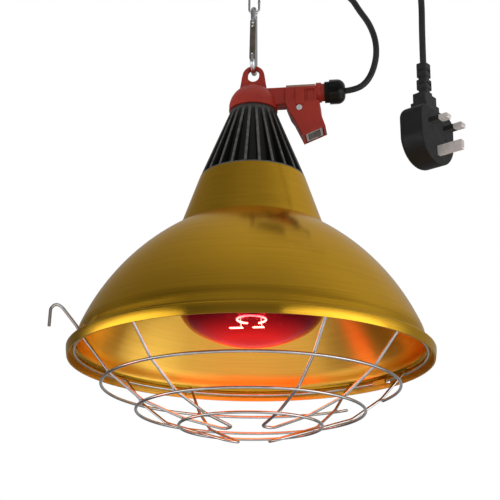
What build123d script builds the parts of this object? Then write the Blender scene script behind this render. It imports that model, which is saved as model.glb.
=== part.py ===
from build123d import *
import math
import os

# Heat lamp for young animals: spun shade, ribbed neck, red cap with eyelet, switch and gland,
# infrared bulb, wire guard, snap hook on a chain, and a mains lead with a three-pin plug.
# Millimetres. Heights below are taken from the lower edge of the shade's lip. Azimuth 0 is the
# front (-Y) and grows towards +X. At the end every piece is lowered by HANG_Z, so that the origin
# is the point where the S-hook bears on whatever carries the lamp.

# Shade
RIM_R = 150.0
SHEET = 1.2
CONE_SLOPE = 0.345
DOME_CENTRE = (-34.6, -50.0)
DOME_R = 190.5
DOME_TOP_DEG = 59.63
DOME_SWEEP_DEG = 36.77
SHOULDER_R = 20.0
LEDGE_Z = 8.0
LEDGE_FILLET = 4.5
LIP_CORNER = 1.5
SHADE_TOP_Z = 160.2
FLANGE_INNER_R = 36.0

# Neck
RIB_COUNT = 24
RIB_WIDTH = 2.4
NECK_SLOPE = 0.4
RIB_LOW_Z = 161.4
RIB_HIGH_Z = 220.0
CORE_LOW_R = 36.0
CORE_HIGH_R = 20.2
NECK_WALL = 2.0
NECK_TOP_Z = 226.0
SPIGOT_R = 18.4
SPIGOT_TOP_Z = 229.8
SHELF_Z = 211.5
SHELF_TOP_Z = 216.0
SHELF_HOLE_R = 7.0
NECK_SCREW_R = 40.0
NECK_SCREW_DEG = (30.0, 150.0, 270.0)
NECK_SCREW_HEAD = (3.6, 2.4)
NECK_SCREW_SHANK = (1.9, 4.8)
NECK_SCREW_HOLE_R = 2.0
RIB_EMBED = 1.0

# Cap, lug and arm
CAP_R = 21.3
CAP_WALL = 2.7
CAP_SHOULDER_Z = 229.0
LUG_TOP_R = 9.8
LUG_FOOT_HALF = 14.6
LUG_THICK = 6.0
LUG_TOP_Z = 269.8
LUG_ROUND = 1.4
EYE_WIDTH = 10.3
EYE_HEIGHT = 12.3
EYE_TOP_Z = 266.8
DUCT_R = 4.0
DUCT_X = (17.0, 32.0)
DUCT_Z = 236.5
ARM_ROOT_X = 8.0
ARM_HALF_Y = 7.0
ARM_LOW_Z = 229.0
BOX_X = (28.8, 56.4)
BOX_HALF_Y = 9.6
BOX_TOP_Z = 243.4
LID_THICK = 2.2
LID_X = (29.7, 55.6)
LID_GAP = 0.2
LID_SPIGOT = 1.2
ARM_ROUND = 2.0
BOX_ROUND = 1.5
BOX_WELL = ((31.4, 54.2), 7.2, 232.0)
BOSS_X = (37.8, 46.0)
BOSS_HIGH_Z = 241.5
BOSS_LOW_Z = 225.9
BOSS_Y = 11.8
BOSS_ROUND = 1.6
NICHE_X = (47.4, 54.8)
NICHE_Z = (230.5, 241.0)
NICHE_DEEP = 1.2
GLAND_Z = 241.2
GLAND_FLANGE_R = 8.8
GLAND_FLANGE_X = 60.0
GLAND_SPIGOT_R = 7.8
SPIGOT_END_X = 63.2
CABLE_BORE_R = 3.2
GLAND_SEAT_R = 5.2
GLAND_SEAT_X = 59.0

# Terminal block in the arm
TERMINAL_X = (36.5, 50.5)
TERMINAL_HALF_Y = 6.6
TERMINAL_TOP_Z = 240.5
TERMINAL_PITCH = 4.4
TERMINAL_WIRE = (1.4, 235.2)
TERMINAL_SCREW_R = 1.5

# Gland
GLAND_HEX_R = 10.4
GLAND_HEX_LENGTH = 4.0
GLAND_STUB_R = 5.1
GLAND_THREAD_R = 7.4
GLAND_END_X = 77.0
GLAND_BORE_R = 3.1
SEAL_POCKET_R = 4.6
SEAL_X = (70.2, 76.8)
SEAL_R = (2.9, 4.5)
NUT_X = (67.4, 81.0)
NUT_R = 10.8
NUT_DOME_R = 7.0
NUT_END_WALL = 3.6
NUT_FLATS_R = 10.95
NUT_FLATS = 12

# Switch housing, slanting outwards below the arm
HOUSING_HALF_Y = 11.0
HOUSING_TOP = ((28.8, 229.0), (59.0, 229.0))
HOUSING_END = ((64.0, 205.0), (44.0, 196.6))
HOUSING_RIGHT = (60.0, 217.2)
HOUSING_LEFT = ((35.7, 214.3), (32.4, 219.4))
HOUSING_SCREW = (41.6, 223.0)
HOUSING_ROUND = 1.6
SCREW_HEAD = (2.5, 1.6)
SCREW_SINK = 1.4
SCREW_SHANK_R = 1.5
SCREW_SLOT = (3.4, 0.8)
MOUTH = (17.5, 18.0, 2.0)
SWITCH_BODY = (13.2, 14.2, 11.0)
BEZEL = (15.2, 16.0, 1.5)
ROCKER_WELL = (11.0, 11.9)
ROCKER_WIDTH = 11.3
ROCKER_R = 5.15
ROCKER_TILT_DEG = 8.0
ROCKER_PIVOT_H = 0.6

# Lampholder
HOLDER_R = 19.0
HOLDER_Z = (172.0, 209.0)
HOLDER_WELL_R = 14.3
HOLDER_WELL_TOP_Z = 199.3
HOLDER_HOLE_R = 2.1
HOLDER_SCREW_Y = (-11.0, 11.0)
HOLDER_SCREW_R = 2.0
HOLDER_SCREW_LOW_Z = 202.0
HOLDER_SCREW_HEAD = (3.5, 2.4)
SHELL_R = (13.6, 14.15)
SHELL_Z = (173.0, 196.0)
NOTCH_X = 15.5
NOTCH = (9.0, 9.0, 7.0)
TERMINAL_AT = (14.2, 205.3)
HOLDER_TERMINAL = (6.0, 7.0, 6.4)
CONTACT_HALF_X = 3.0
CONTACT_Y = (-11.0, 6.0)
CONTACT_Z = 197.6
CONTACT_LEAF = 0.6
CONTACT_FOOT = (3.0, 1.0)
STRAP = (14.0, 36.0)
STRAP_HOLE_R = 5.0

# Bulb, an R125 reflector lamp with a 27 mm screw cap
BULB_FACE_Z = 15.0
BULB_R = 62.5
BULB_GLASS = 1.2
BULB_FACE_R = 95.0
BULB_EDGE_R = 30.0
BULB_SHOULDER_R = 60.0
BULB_SHOULDER_DEG = 42.0
BULB_CONE = 30.0
BULB_THROAT_R = 30.0
BULB_NECK_DEG = 4.0
BULB_NECK_TOP_Z = 167.5
SCREW_CAP_R = 13.1
FILAMENT_R = 12.0
FILAMENT_Z = 37.0
FILAMENT_WIRE_R = 1.2
FILAMENT_GAP = 9.0
TAIL_Z = 29.5
TAIL_Y = -3.0
TAILS_X = ((-18.0, -6.5, -8.0), (1.5, 11.0, 9.0))
STEM_LOW_Z = 76.0
STEM_TOP = (9.0, 166.3)
STEM_R = (3.2, 4.0)
LEAD_R = 0.8
LEAD_TOP_X = 2.0
SCREW_CAP_Z = (167.5, 171.0, 188.5, 190.5)
COLLAR_R = 17.4
CAP_END_R = 10.5
INSULATOR_R = (9.8, 6.0)
TIP_Z = (193.6, 195.4)
TIP_CONTACT_R = (4.8, 3.2)

# Guard
WIRE = 2.5
WELD = 0.5
TOP_RING = (144.4, 5.0)
GUARD_RINGS = {"upper": (121.5, -20.6), "middle": (92.7, -40.8), "lower": (57.9, -52.4)}
GUARD_SIDES = {"upper": (-0.66, 0.75), "middle": (-0.45, 0.89), "lower": (-0.23, 0.97)}
LEG_TOP = (142.6, 6.4)
LEG_HALF_DEG = 14.5
LEG_BEND_R = 20.0
TIP_R = 23.0
TIP_BEND_R = 5.4
TIP_FRONT_Z = -56.3
TIP_REAR_Z = -61.5
HAIRPIN_DEG = {"1": 45.0, "2": 135.0, "3": 225.0}
LATCH_DEG = 315.0
LATCH_POINTS = ((143.7, 7.8), (147.4, 14.4), (159.5, 28.0), (165.2, 31.2), (169.0, 26.0), (169.4, 12.0))
LATCH_BENDS = [3.0, 4.0, 6.0, 20.0, 20.0]
UPPER_RING_START_DEG = 120.5
UPPER_RING_END_DEG = 143.7
HINGE_DEG = 135.0
TAB_WIDTH = 14.0

# Snap hook and chain
HOOK_WIRE = 4.5
HOOK_LOW_Z = 264.3
HOOK_LOW_R = 9.0
HOOK_HIGH_Z = 327.0
HOOK_HIGH_R = 5.5
NOSE_DEG = 4.0
GATE_PIVOT = (-5.7, 311.5)
GATE_FOOT_Z = 273.6
GATE_WIDTH = 5.0
GATE_THICK = 3.6
FORK_SLOT = 2.8
TONGUE = 2.2
PIVOT_PIN = 1.6
LINK_WIRE = 2.0
LINK_INNER = 20.0
LINK_WIDTH = 10.9
LINK_YAW_DEG = (0.0, 90.0, 0.0, 90.0, 0.0)
LINK_GAP = 0.15
S_WIRE = 4.0
S_BEND_R = 9.0
S_CENTRES = 26.0
S_ARC_TIP_DEG = 25.0

# Mains lead
CORD = 5.5
COIL_CENTRE = (50.0, 389.0)
COIL_INNER_R = 23.0
COIL_PITCH = 6.2
COIL_LAYERS = 4
COIL_TURNS = 2.625
TIE_X = (-1.2, 30.2)
TIE_HALF_Y = 12.15
TIE_Z = (389.0, 395.0)
TIE_THICK = 1.2
TIE_CORNER = 2.9
CORD_START_X = 71.0

# Plug to the British three-pin pattern
PLUG_AT = (148.7, -45.0, 194.5)
PLUG_YAW_DEG = -32.0
PLUG_DEPTH = 23.0
PLUG_HEIGHT = 47.0
PLUG_HALF_WIDTH = 25.0
PLUG_TAPER = 0.6
PLUG_WAIST_Z = -26.3
PLUG_TOP_CORNER = 9.0
PLUG_LOW_CORNER = 12.0
PLUG_BACK_ROUND = 6.0
PLUG_FACE_ROUND = 1.2
RELIEF_STEPS = ((7.0, 22.4, 15.0), (8.7, 19.9, 11.8), (2.8, 10.8, 10.0), (3.5, 7.6, 7.6),
                (8.0, 10.6, 9.6), (3.3, 7.4, 7.4), (11.7, 10.0, 9.0))
RELIEF_CORNER = 2.0
RELIEF_WINDOWS = ((26.4, 10.6, 9.6), (38.5, 10.0, 9.0))
WINDOW_SHARE = 0.6
WINDOW_HEIGHT = 2.4
WINDOW_DEPTH = 1.6
PIN_SPACING = 22.2
PIN_LENGTH = 17.7
PIN_SECTION = (6.35, 4.0)
SLEEVE_LENGTH = 9.5
EARTH_LENGTH = 22.7
EARTH_SECTION = (4.0, 8.0)
PIN_ROOT = 8.0
LIVE_PINS_Z = -13.6
FUSE_Z = -24.4
FUSE_COVER = (27.0, 8.6, 3.0)
FUSE_R = 3.15
FUSE_LENGTH = 25.4
FUSE_POCKET = 9.8
PIN_NECK = 0.6
PIN_CHAMFER = 0.9


def cone_r(z):
    """Radius of the shade's cone."""
    kink_r = DOME_CENTRE[0] + DOME_R * math.cos(math.radians(DOME_TOP_DEG))
    kink_z = DOME_CENTRE[1] + DOME_R * math.sin(math.radians(DOME_TOP_DEG))
    return kink_r - (z - kink_z) * CONE_SLOPE


def neck_r(z):
    """Radius of the neck's ribs, which start flush with the shade's cone."""
    return cone_r(SHADE_TOP_Z) - (z - SHADE_TOP_Z) * NECK_SLOPE


def core_r(z):
    """Radius of the neck's closed core between its ribs."""
    return CORE_LOW_R + (CORE_HIGH_R - CORE_LOW_R) * (z - RIB_LOW_Z) / (RIB_HIGH_Z - RIB_LOW_Z)


def polar(r, azimuth, z):
    """Point at a radius, an azimuth from the front towards +X, and a height."""
    a = math.radians(azimuth)
    return Vector(r * math.sin(a), -r * math.cos(a), z)


def turned(points):
    """Solid of revolution about the vertical axis through a closed outline of (r, z) points."""
    with BuildSketch(Plane.XZ) as outline:
        with BuildLine():
            Polyline(*points, close=True)
        make_face()
    return revolve(outline.sketch, Axis.Z)


def rod(radius, start, end):
    """Round bar between two points."""
    start = Vector(start)
    end = Vector(end)
    length = (end - start).length
    bar = Cylinder(radius, length, align=(Align.CENTER, Align.CENTER, Align.MIN))
    return Plane(origin=start, z_dir=end - start) * bar


def tube_along(path, diameter):
    """Round wire or cord swept along a smooth path."""
    start = path @ 0
    return sweep(Plane(origin=start, z_dir=path % 0) * Circle(diameter / 2), path=path)


# Shade

def shade():
    """Spun cone, dome and stepped lip, with the guard's latch slot and hinge tab."""
    with BuildSketch(Plane.XZ) as section:
        with BuildLine() as skin:
            dome = CenterArc(DOME_CENTRE, DOME_R, DOME_TOP_DEG, -DOME_SWEEP_DEG)
            flange = Line((FLANGE_INNER_R, SHADE_TOP_Z), (cone_r(SHADE_TOP_Z), SHADE_TOP_Z))
            Line(flange @ 1, dome @ 0)
            shoulder = JernArc(dome @ 1, dome % 1, SHOULDER_R, DOME_SWEEP_DEG - DOME_TOP_DEG)
            wall_r = RIM_R - LIP_CORNER - 1.5 - LEDGE_FILLET
            wall = Line(shoulder @ 1, (wall_r, LEDGE_Z + LEDGE_FILLET))
            step = JernArc(wall @ 1, (0, -1), LEDGE_FILLET, 90)
            ledge = Line(step @ 1, (RIM_R - LIP_CORNER, LEDGE_Z))
            corner = JernArc(ledge @ 1, (1, 0), LIP_CORNER, -90)
            Line(corner @ 1, (RIM_R, 0))
            offset(skin.line, SHEET, side=Side.RIGHT, closed=True)
        make_face()
    body = revolve(section.sketch, Axis.Z)
    for azimuth in NECK_SCREW_DEG:
        body -= Pos(*polar(NECK_SCREW_R, azimuth, SHADE_TOP_Z)) * Cylinder(2.2, 6)
    latch_azimuth = LATCH_DEG - LEG_HALF_DEG
    slot = Box(4.0, 8.5, 12.0)
    body -= Pos(*polar(144.8, latch_azimuth, 11.0)) * Rot(0, 0, latch_azimuth) * slot
    window = Box(TAB_WIDTH, 6.0, 4.0)
    body -= Pos(*polar(RIM_R - SHEET / 2, HINGE_DEG, 5.6)) * Rot(0, 0, HINGE_DEG) * window
    return body + hinge_tab()


def hinge_tab():
    """Lanced tab, turned up inside the guard's top ring so that the ring can roll in it."""
    profile = ((148.9, 2.4), (148.9, 3.4), (142.6, 3.4), (142.6, 6.2), (141.6, 6.2), (141.6, 2.4))
    with BuildSketch(Plane.XZ) as outline:
        with BuildLine():
            Polyline(*profile, close=True)
        make_face()
    tab = extrude(outline.sketch, TAB_WIDTH / 2, both=True)
    return Rot(0, 0, HINGE_DEG - 90) * tab


# Neck and its screws

def neck():
    """Ribbed neck: base ring, closed core with standing ribs, collar and spigot for the cap."""
    inner_low = core_r(RIB_LOW_Z) - NECK_WALL
    inner_shelf = core_r(SHELF_Z) - NECK_WALL
    inner_spigot = SPIGOT_R - NECK_WALL
    body = turned((
        (inner_low, SHADE_TOP_Z), (neck_r(SHADE_TOP_Z), SHADE_TOP_Z), (neck_r(RIB_LOW_Z), RIB_LOW_Z),
        (CORE_LOW_R, RIB_LOW_Z), (CORE_HIGH_R, RIB_HIGH_Z), (neck_r(RIB_HIGH_Z), RIB_HIGH_Z),
        (neck_r(NECK_TOP_Z), NECK_TOP_Z), (SPIGOT_R, NECK_TOP_Z), (SPIGOT_R, SPIGOT_TOP_Z),
        (inner_spigot, SPIGOT_TOP_Z), (inner_spigot, SHELF_TOP_Z), (SHELF_HOLE_R, SHELF_TOP_Z),
        (SHELF_HOLE_R, SHELF_Z), (inner_shelf, SHELF_Z), (inner_low, RIB_LOW_Z)))
    rib_outline = (
        (CORE_LOW_R - RIB_EMBED, RIB_LOW_Z), (neck_r(RIB_LOW_Z), RIB_LOW_Z),
        (neck_r(RIB_HIGH_Z), RIB_HIGH_Z), (CORE_HIGH_R - RIB_EMBED, RIB_HIGH_Z))
    with BuildSketch(Plane.XZ) as outline:
        with BuildLine():
            Polyline(*rib_outline, close=True)
        make_face()
    rib = extrude(outline.sketch, RIB_WIDTH / 2, both=True)
    body += [Rot(0, 0, 360 * i / RIB_COUNT) * rib for i in range(RIB_COUNT)]
    screw_top = SHADE_TOP_Z + NECK_SCREW_SHANK[1] - SHEET + 0.7
    for azimuth in NECK_SCREW_DEG:
        at = polar(NECK_SCREW_R, azimuth, SHADE_TOP_Z)
        body -= rod(NECK_SCREW_HOLE_R, at - Vector(0, 0, 1), Vector(at.X, at.Y, screw_top))
    for y in HOLDER_SCREW_Y:
        body -= rod(HOLDER_HOLE_R, (0, y, SHELF_Z - 1), (0, y, SHELF_TOP_Z + 1))
    return body


def neck_screws():
    """Three pan-head screws that hold the shade's flange to the neck, from inside."""
    under = SHADE_TOP_Z - SHEET
    head_r, head_height = NECK_SCREW_HEAD
    shank_r, shank_length = NECK_SCREW_SHANK
    screw = rod(head_r, (0, 0, under - head_height), (0, 0, under))
    screw += rod(shank_r, (0, 0, under), (0, 0, under + shank_length))
    return Compound([Pos(*polar(NECK_SCREW_R, a, 0)) * screw for a in NECK_SCREW_DEG])


# Cap with lug and arm

def cap():
    """Red moulding: dome over the neck's spigot, eyelet lug on top, arm with terminal box to +X."""
    dome = turned_dome(CAP_R)
    hollow = turned_dome(CAP_R - CAP_WALL)
    bend_z = LUG_TOP_Z - LUG_TOP_R
    with BuildSketch(Plane.XZ) as lug_face:
        with Locations((0, bend_z)):
            Circle(LUG_TOP_R)
        with BuildLine():
            Polyline((-LUG_FOOT_HALF, CAP_SHOULDER_Z), (LUG_FOOT_HALF, CAP_SHOULDER_Z),
                     (LUG_TOP_R, bend_z), (-LUG_TOP_R, bend_z), close=True)
        make_face()
    lug = extrude(lug_face.sketch, LUG_THICK / 2, both=True)
    eye = Plane.XZ * Pos(0, EYE_TOP_Z - EYE_HEIGHT / 2) * Rot(0, 0, 90) * SlotOverall(EYE_HEIGHT, EYE_WIDTH)
    lug -= extrude(eye, LUG_THICK, both=True)
    lug = fillet(lug.edges().filter_by(lambda e: e.center().Z > EYE_TOP_Z - EYE_HEIGHT), LUG_ROUND)
    body = dome + lug + arm()
    body -= hollow
    return body - rod(DUCT_R, (DUCT_X[0], 0, DUCT_Z), (DUCT_X[1], 0, DUCT_Z))


def turned_dome(radius):
    """Cylinder skirt with half a ball on it."""
    with BuildSketch(Plane.XZ) as outline:
        with BuildLine():
            CenterArc((0, CAP_SHOULDER_Z), radius, 0, 90)
            Line((0, CAP_SHOULDER_Z + radius), (0, NECK_TOP_Z))
            Line((0, NECK_TOP_Z), (radius, NECK_TOP_Z))
            Line((radius, NECK_TOP_Z), (radius, CAP_SHOULDER_Z))
        make_face()
    return revolve(outline.sketch, Axis.Z)


def arm():
    """Side arm: root beam, terminal box with a boss column and a niche, round flange, gland spigot."""
    lid_top = BOX_TOP_Z + LID_THICK
    beam = box_between((ARM_ROOT_X, -ARM_HALF_Y, ARM_LOW_Z), (BOX_X[0] + 2, ARM_HALF_Y, lid_top))
    beam = fillet(beam.edges().filter_by(Axis.X), ARM_ROUND)
    box = box_between((BOX_X[0], -BOX_HALF_Y, ARM_LOW_Z), (BOX_X[1], BOX_HALF_Y, BOX_TOP_Z))
    box = fillet(box.edges().filter_by(Axis.Z), BOX_ROUND)
    boss = box_between((BOSS_X[0], -BOSS_Y, ARM_LOW_Z), (BOSS_X[1], BOSS_Y, BOSS_HIGH_Z))
    box += fillet(boss.edges().filter_by(Axis.Z), BOSS_ROUND)
    niche = Box(NICHE_X[1] - NICHE_X[0], 2 * NICHE_DEEP, NICHE_Z[1] - NICHE_Z[0])
    for y in (-BOX_HALF_Y, BOX_HALF_Y):
        box -= Pos(sum(NICHE_X) / 2, y, sum(NICHE_Z) / 2) * niche
    body = beam + box
    body += rod(GLAND_FLANGE_R, (BOX_X[1] - 1, 0, GLAND_Z), (GLAND_FLANGE_X, 0, GLAND_Z))
    body += rod(GLAND_SPIGOT_R, (GLAND_FLANGE_X, 0, GLAND_Z), (SPIGOT_END_X, 0, GLAND_Z))
    well_x, well_y, well_z = BOX_WELL
    body -= box_between((well_x[0], -well_y, well_z), (well_x[1], well_y, lid_top))
    body -= box_between((LID_X[0], -BOSS_Y, BOX_TOP_Z), (LID_X[1], BOSS_Y, lid_top + 8))
    body -= rod(CABLE_BORE_R, (well_x[1] - 1, 0, GLAND_Z), (SPIGOT_END_X, 0, GLAND_Z))
    return body - rod(GLAND_SEAT_R, (GLAND_SEAT_X, 0, GLAND_Z), (SPIGOT_END_X + 1, 0, GLAND_Z))


def box_between(low, high):
    """Box between two opposite corners."""
    size = [b - a for a, b in zip(low, high)]
    middle = [(a + b) / 2 for a, b in zip(low, high)]
    return Pos(*middle) * Box(*size)


def arm_lid():
    """Lid over the terminal box, with a shallow step and a spigot that drops into the box."""
    well_x, well_y, _ = BOX_WELL
    plate = box_between((LID_X[0] + LID_GAP, -BOX_HALF_Y, BOX_TOP_Z),
                        (LID_X[1] - LID_GAP, BOX_HALF_Y, BOX_TOP_Z + LID_THICK))
    plate = fillet(plate.edges().group_by(Axis.Z)[-1], 0.9)
    return plate + box_between((well_x[0] + LID_GAP, LID_GAP - well_y, BOX_TOP_Z - LID_SPIGOT),
                               (well_x[1] - LID_GAP, well_y - LID_GAP, BOX_TOP_Z))


def terminal_block():
    """Three-way connector strip in the arm."""
    low_x, high_x = TERMINAL_X
    wire_r, wire_z = TERMINAL_WIRE
    block = box_between((low_x, -TERMINAL_HALF_Y, BOX_WELL[2]), (high_x, TERMINAL_HALF_Y, TERMINAL_TOP_Z))
    middle = sum(TERMINAL_X) / 2
    for y in (-TERMINAL_PITCH, 0, TERMINAL_PITCH):
        block -= rod(wire_r, (low_x - 1, y, wire_z), (high_x + 1, y, wire_z))
        block -= rod(TERMINAL_SCREW_R, (middle, y, wire_z + 2), (middle, y, TERMINAL_TOP_Z + 1))
    return block


# Gland

def gland_body():
    """Black gland stub with its hexagon and threaded end."""
    plane = Plane(origin=(SPIGOT_END_X, 0, GLAND_Z), z_dir=(1, 0, 0))
    hex_end = SPIGOT_END_X + GLAND_HEX_LENGTH
    body = extrude(plane * RegularPolygon(GLAND_HEX_R, 6), GLAND_HEX_LENGTH)
    body += rod(GLAND_STUB_R, (GLAND_SEAT_X + 0.2, 0, GLAND_Z), (SPIGOT_END_X, 0, GLAND_Z))
    body += rod(GLAND_THREAD_R, (hex_end, 0, GLAND_Z), (GLAND_END_X, 0, GLAND_Z))
    body -= rod(GLAND_BORE_R, (GLAND_SEAT_X, 0, GLAND_Z), (GLAND_END_X + 1, 0, GLAND_Z))
    return body - rod(SEAL_POCKET_R, (SEAL_X[0] - 0.2, 0, GLAND_Z), (GLAND_END_X + 1, 0, GLAND_Z))


def gland_seal():
    """Rubber ring that grips the lead."""
    start = (SEAL_X[0], 0, GLAND_Z)
    end = (SEAL_X[1], 0, GLAND_Z)
    return rod(SEAL_R[1], start, end) - rod(SEAL_R[0], start, end)


def gland_nut():
    """Domed cap nut with flats around it."""
    start, end = NUT_X
    bore_r = GLAND_THREAD_R + 0.2
    with BuildSketch(Plane.XZ) as outline:
        with BuildLine():
            Line((start, bore_r), (start, NUT_R))
            side = Line((start, NUT_R), (end - NUT_DOME_R, NUT_R))
            dome = JernArc(side @ 1, (1, 0), NUT_DOME_R, -90)
            face = Line(dome @ 1, (end, GLAND_BORE_R))
            Polyline(face @ 1, (end - NUT_END_WALL, GLAND_BORE_R), (end - NUT_END_WALL, bore_r),
                     (start, bore_r))
        make_face()
    nut = revolve(outline.sketch, Axis.X)
    plane = Plane(origin=(start - 1, 0, 0), z_dir=(1, 0, 0))
    prism = extrude(plane * RegularPolygon(NUT_FLATS_R, NUT_FLATS), end - start + 2)
    return Pos(0, 0, GLAND_Z) * (nut & prism)


# Switch

def switch_plane():
    """Plane on the housing's open end: x runs up the slope, z points out of the mouth."""
    high = Vector(HOUSING_END[0][0], 0, HOUSING_END[0][1])
    low = Vector(HOUSING_END[1][0], 0, HOUSING_END[1][1])
    along = (high - low).normalized()
    return Plane(origin=(high + low) / 2, x_dir=along, z_dir=along.cross(Vector(0, -1, 0)))


def switch_housing():
    """Red housing with a mouth at its slanted end and a well for the switch."""
    with BuildSketch(Plane.XZ) as outline:
        with BuildLine():
            Polyline(*HOUSING_TOP, HOUSING_RIGHT, *HOUSING_END, *HOUSING_LEFT, close=True)
        make_face()
    body = extrude(outline.sketch, HOUSING_HALF_Y, both=True)
    rounded = body.edges().filter_by(lambda e: abs(e.center().Y) > 1 and e.center().Z < ARM_LOW_Z - 1)
    body = fillet(rounded, HOUSING_ROUND)
    foot = box_between((BOSS_X[0], -BOSS_Y, BOSS_LOW_Z), (BOSS_X[1], BOSS_Y, ARM_LOW_Z))
    body += fillet(foot.edges().filter_by(Axis.Z), BOSS_ROUND)
    plane = switch_plane()
    body -= extrude(plane * Rectangle(MOUTH[0], MOUTH[1]), -MOUTH[2])
    well = plane.offset(-MOUTH[2]) * Rectangle(SWITCH_BODY[0] + 0.2, SWITCH_BODY[1] + 0.2)
    body -= extrude(well, -SWITCH_BODY[2] - 0.2)
    x, z = HOUSING_SCREW
    seat_y = SCREW_SINK - HOUSING_HALF_Y
    body -= rod(SCREW_HEAD[0] + 0.3, (x, -BOSS_Y - 1, z), (x, seat_y, z))
    return body - rod(SCREW_SHANK_R + 0.2, (x, seat_y, z), (x, -1, z))


def switch_body():
    """Switch insert: bezel on the floor of the mouth, body in the well, trough for the rocker."""
    plane = switch_plane().offset(-MOUTH[2])
    body = extrude(plane * Rectangle(BEZEL[0], BEZEL[1]), BEZEL[2])
    body += extrude(plane * Rectangle(SWITCH_BODY[0], SWITCH_BODY[1]), -SWITCH_BODY[2])
    return body - extrude(plane.offset(BEZEL[2]) * Rectangle(*ROCKER_WELL), -BEZEL[2] - 5.4)


def rocker():
    """Rocker with a dished top and a round belly, resting pressed in on its lower side."""
    half = ROCKER_R * 0.97
    rise = math.sqrt(ROCKER_R ** 2 - half ** 2)
    pivot = switch_plane().offset(ROCKER_PIVOT_H - MOUTH[2])
    section_plane = Plane(origin=pivot.origin, x_dir=pivot.x_dir, z_dir=(0, -1, 0))
    with BuildSketch(section_plane) as outline:
        with BuildLine():
            Polyline((half, -rise), (0, -rise + 0.5), (-half, -rise))
            ThreePointArc((-half, -rise), (0, ROCKER_R), (half, -rise))
        make_face()
    paddle = extrude(outline.sketch, ROCKER_WIDTH / 2, both=True)
    axis = Axis(pivot.origin, (0, 1, 0))
    return paddle.rotate(axis, ROCKER_TILT_DEG)


def cover_screws():
    """Cross-head screw of the housing."""
    x, z = HOUSING_SCREW
    head_r, head_height = SCREW_HEAD
    seat_y = SCREW_SINK - HOUSING_HALF_Y
    top_y = seat_y - head_height
    screw = rod(head_r, (x, top_y, z), (x, seat_y, z)) + rod(SCREW_SHANK_R, (x, seat_y, z), (x, -1.5, z))
    for width, height in (SCREW_SLOT, SCREW_SLOT[::-1]):
        screw -= Pos(x, top_y, z) * Box(width, head_height, height)
    return screw


# Lampholder

def lampholder():
    """Porcelain body with its well for the screw shell and two notches for terminals."""
    low_z, high_z = HOLDER_Z
    body = rod(HOLDER_R, (0, 0, low_z), (0, 0, high_z))
    body = fillet(body.edges().group_by(Axis.Z)[0], 2.0)
    body -= rod(HOLDER_WELL_R, (0, 0, low_z - 1), (0, 0, HOLDER_WELL_TOP_Z))
    for x in (-NOTCH_X, NOTCH_X):
        body -= Pos(x, 0, high_z - NOTCH[2] / 2) * Box(*NOTCH)
    for y in HOLDER_SCREW_Y:
        body -= rod(HOLDER_HOLE_R, (0, y, HOLDER_SCREW_LOW_Z - 1), (0, y, high_z + 1))
    return body


def screw_shell():
    """Threaded shell that takes the bulb's cap."""
    inner, outer = SHELL_R
    start = (0, 0, SHELL_Z[0])
    end = (0, 0, SHELL_Z[1])
    return rod(outer, start, end) - rod(inner, start, end)


def centre_contact():
    """Spring leaf over the bulb's tip."""
    start_y, end_y = CONTACT_Y
    leaf_top = CONTACT_Z + CONTACT_LEAF
    leaf = box_between((-CONTACT_HALF_X, start_y, CONTACT_Z), (CONTACT_HALF_X, end_y, leaf_top))
    foot_y, foot_height = CONTACT_FOOT
    return leaf + box_between((-CONTACT_HALF_X, start_y, leaf_top),
                              (CONTACT_HALF_X, start_y + foot_y, leaf_top + foot_height))


def holder_terminals():
    """Two brass terminal blocks in the porcelain's notches."""
    x, z = TERMINAL_AT
    block = Box(*HOLDER_TERMINAL) - Pos(0, 0, 2) * Cylinder(TERMINAL_SCREW_R, 4)
    return Compound([Pos(side * x, 0, z) * block for side in (-1, 1)])


def holder_bridge():
    """Steel strap between the porcelain and the neck's shelf."""
    low_z = HOLDER_Z[1]
    strap = Pos(0, 0, (low_z + SHELF_Z) / 2) * Box(*STRAP, SHELF_Z - low_z)
    strap -= rod(STRAP_HOLE_R, (0, 0, low_z - 1), (0, 0, SHELF_Z + 1))
    for y in HOLDER_SCREW_Y:
        strap -= rod(HOLDER_HOLE_R, (0, y, low_z - 1), (0, y, SHELF_Z + 1))
    return strap


def holder_screws():
    """Two screws through shelf and strap into the porcelain."""
    head_r, head_height = HOLDER_SCREW_HEAD
    screw = rod(HOLDER_SCREW_R, (0, 0, HOLDER_SCREW_LOW_Z), (0, 0, SHELF_TOP_Z))
    screw += rod(head_r, (0, 0, SHELF_TOP_Z), (0, 0, SHELF_TOP_Z + head_height))
    return Compound([Pos(0, y, 0) * screw for y in HOLDER_SCREW_Y])


# Bulb

def bulb_outline(inset):
    """Closed half section of the glass envelope, inset from its outer face."""
    turn = math.degrees(math.asin((BULB_R - BULB_EDGE_R) / (BULB_FACE_R - BULB_EDGE_R)))
    back = BULB_SHOULDER_DEG - BULB_NECK_DEG
    with BuildSketch(Plane.XZ) as section:
        with BuildLine():
            face = JernArc((0, BULB_FACE_Z + inset), (1, 0), BULB_FACE_R - inset, turn)
            edge = JernArc(face @ 1, face % 1, BULB_EDGE_R - inset, 90 - turn)
            shoulder = JernArc(edge @ 1, edge % 1, BULB_SHOULDER_R - inset, BULB_SHOULDER_DEG)
            cone = Line(shoulder @ 1, shoulder @ 1 + (shoulder % 1) * BULB_CONE)
            throat = JernArc(cone @ 1, cone % 1, BULB_THROAT_R + inset, -back)
            top_z = BULB_NECK_TOP_Z - inset
            rise = top_z - (throat @ 1).Y
            top_r = (throat @ 1).X - rise * math.tan(math.radians(BULB_NECK_DEG))
            Line(throat @ 1, (top_r, top_z))
            Polyline((top_r, top_z), (0, top_z), (0, BULB_FACE_Z + inset))
        make_face()
    return section.sketch


def bulb_glass():
    """Hollow reflector envelope."""
    return revolve(bulb_outline(0), Axis.Z) - revolve(bulb_outline(BULB_GLASS), Axis.Z)


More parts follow.
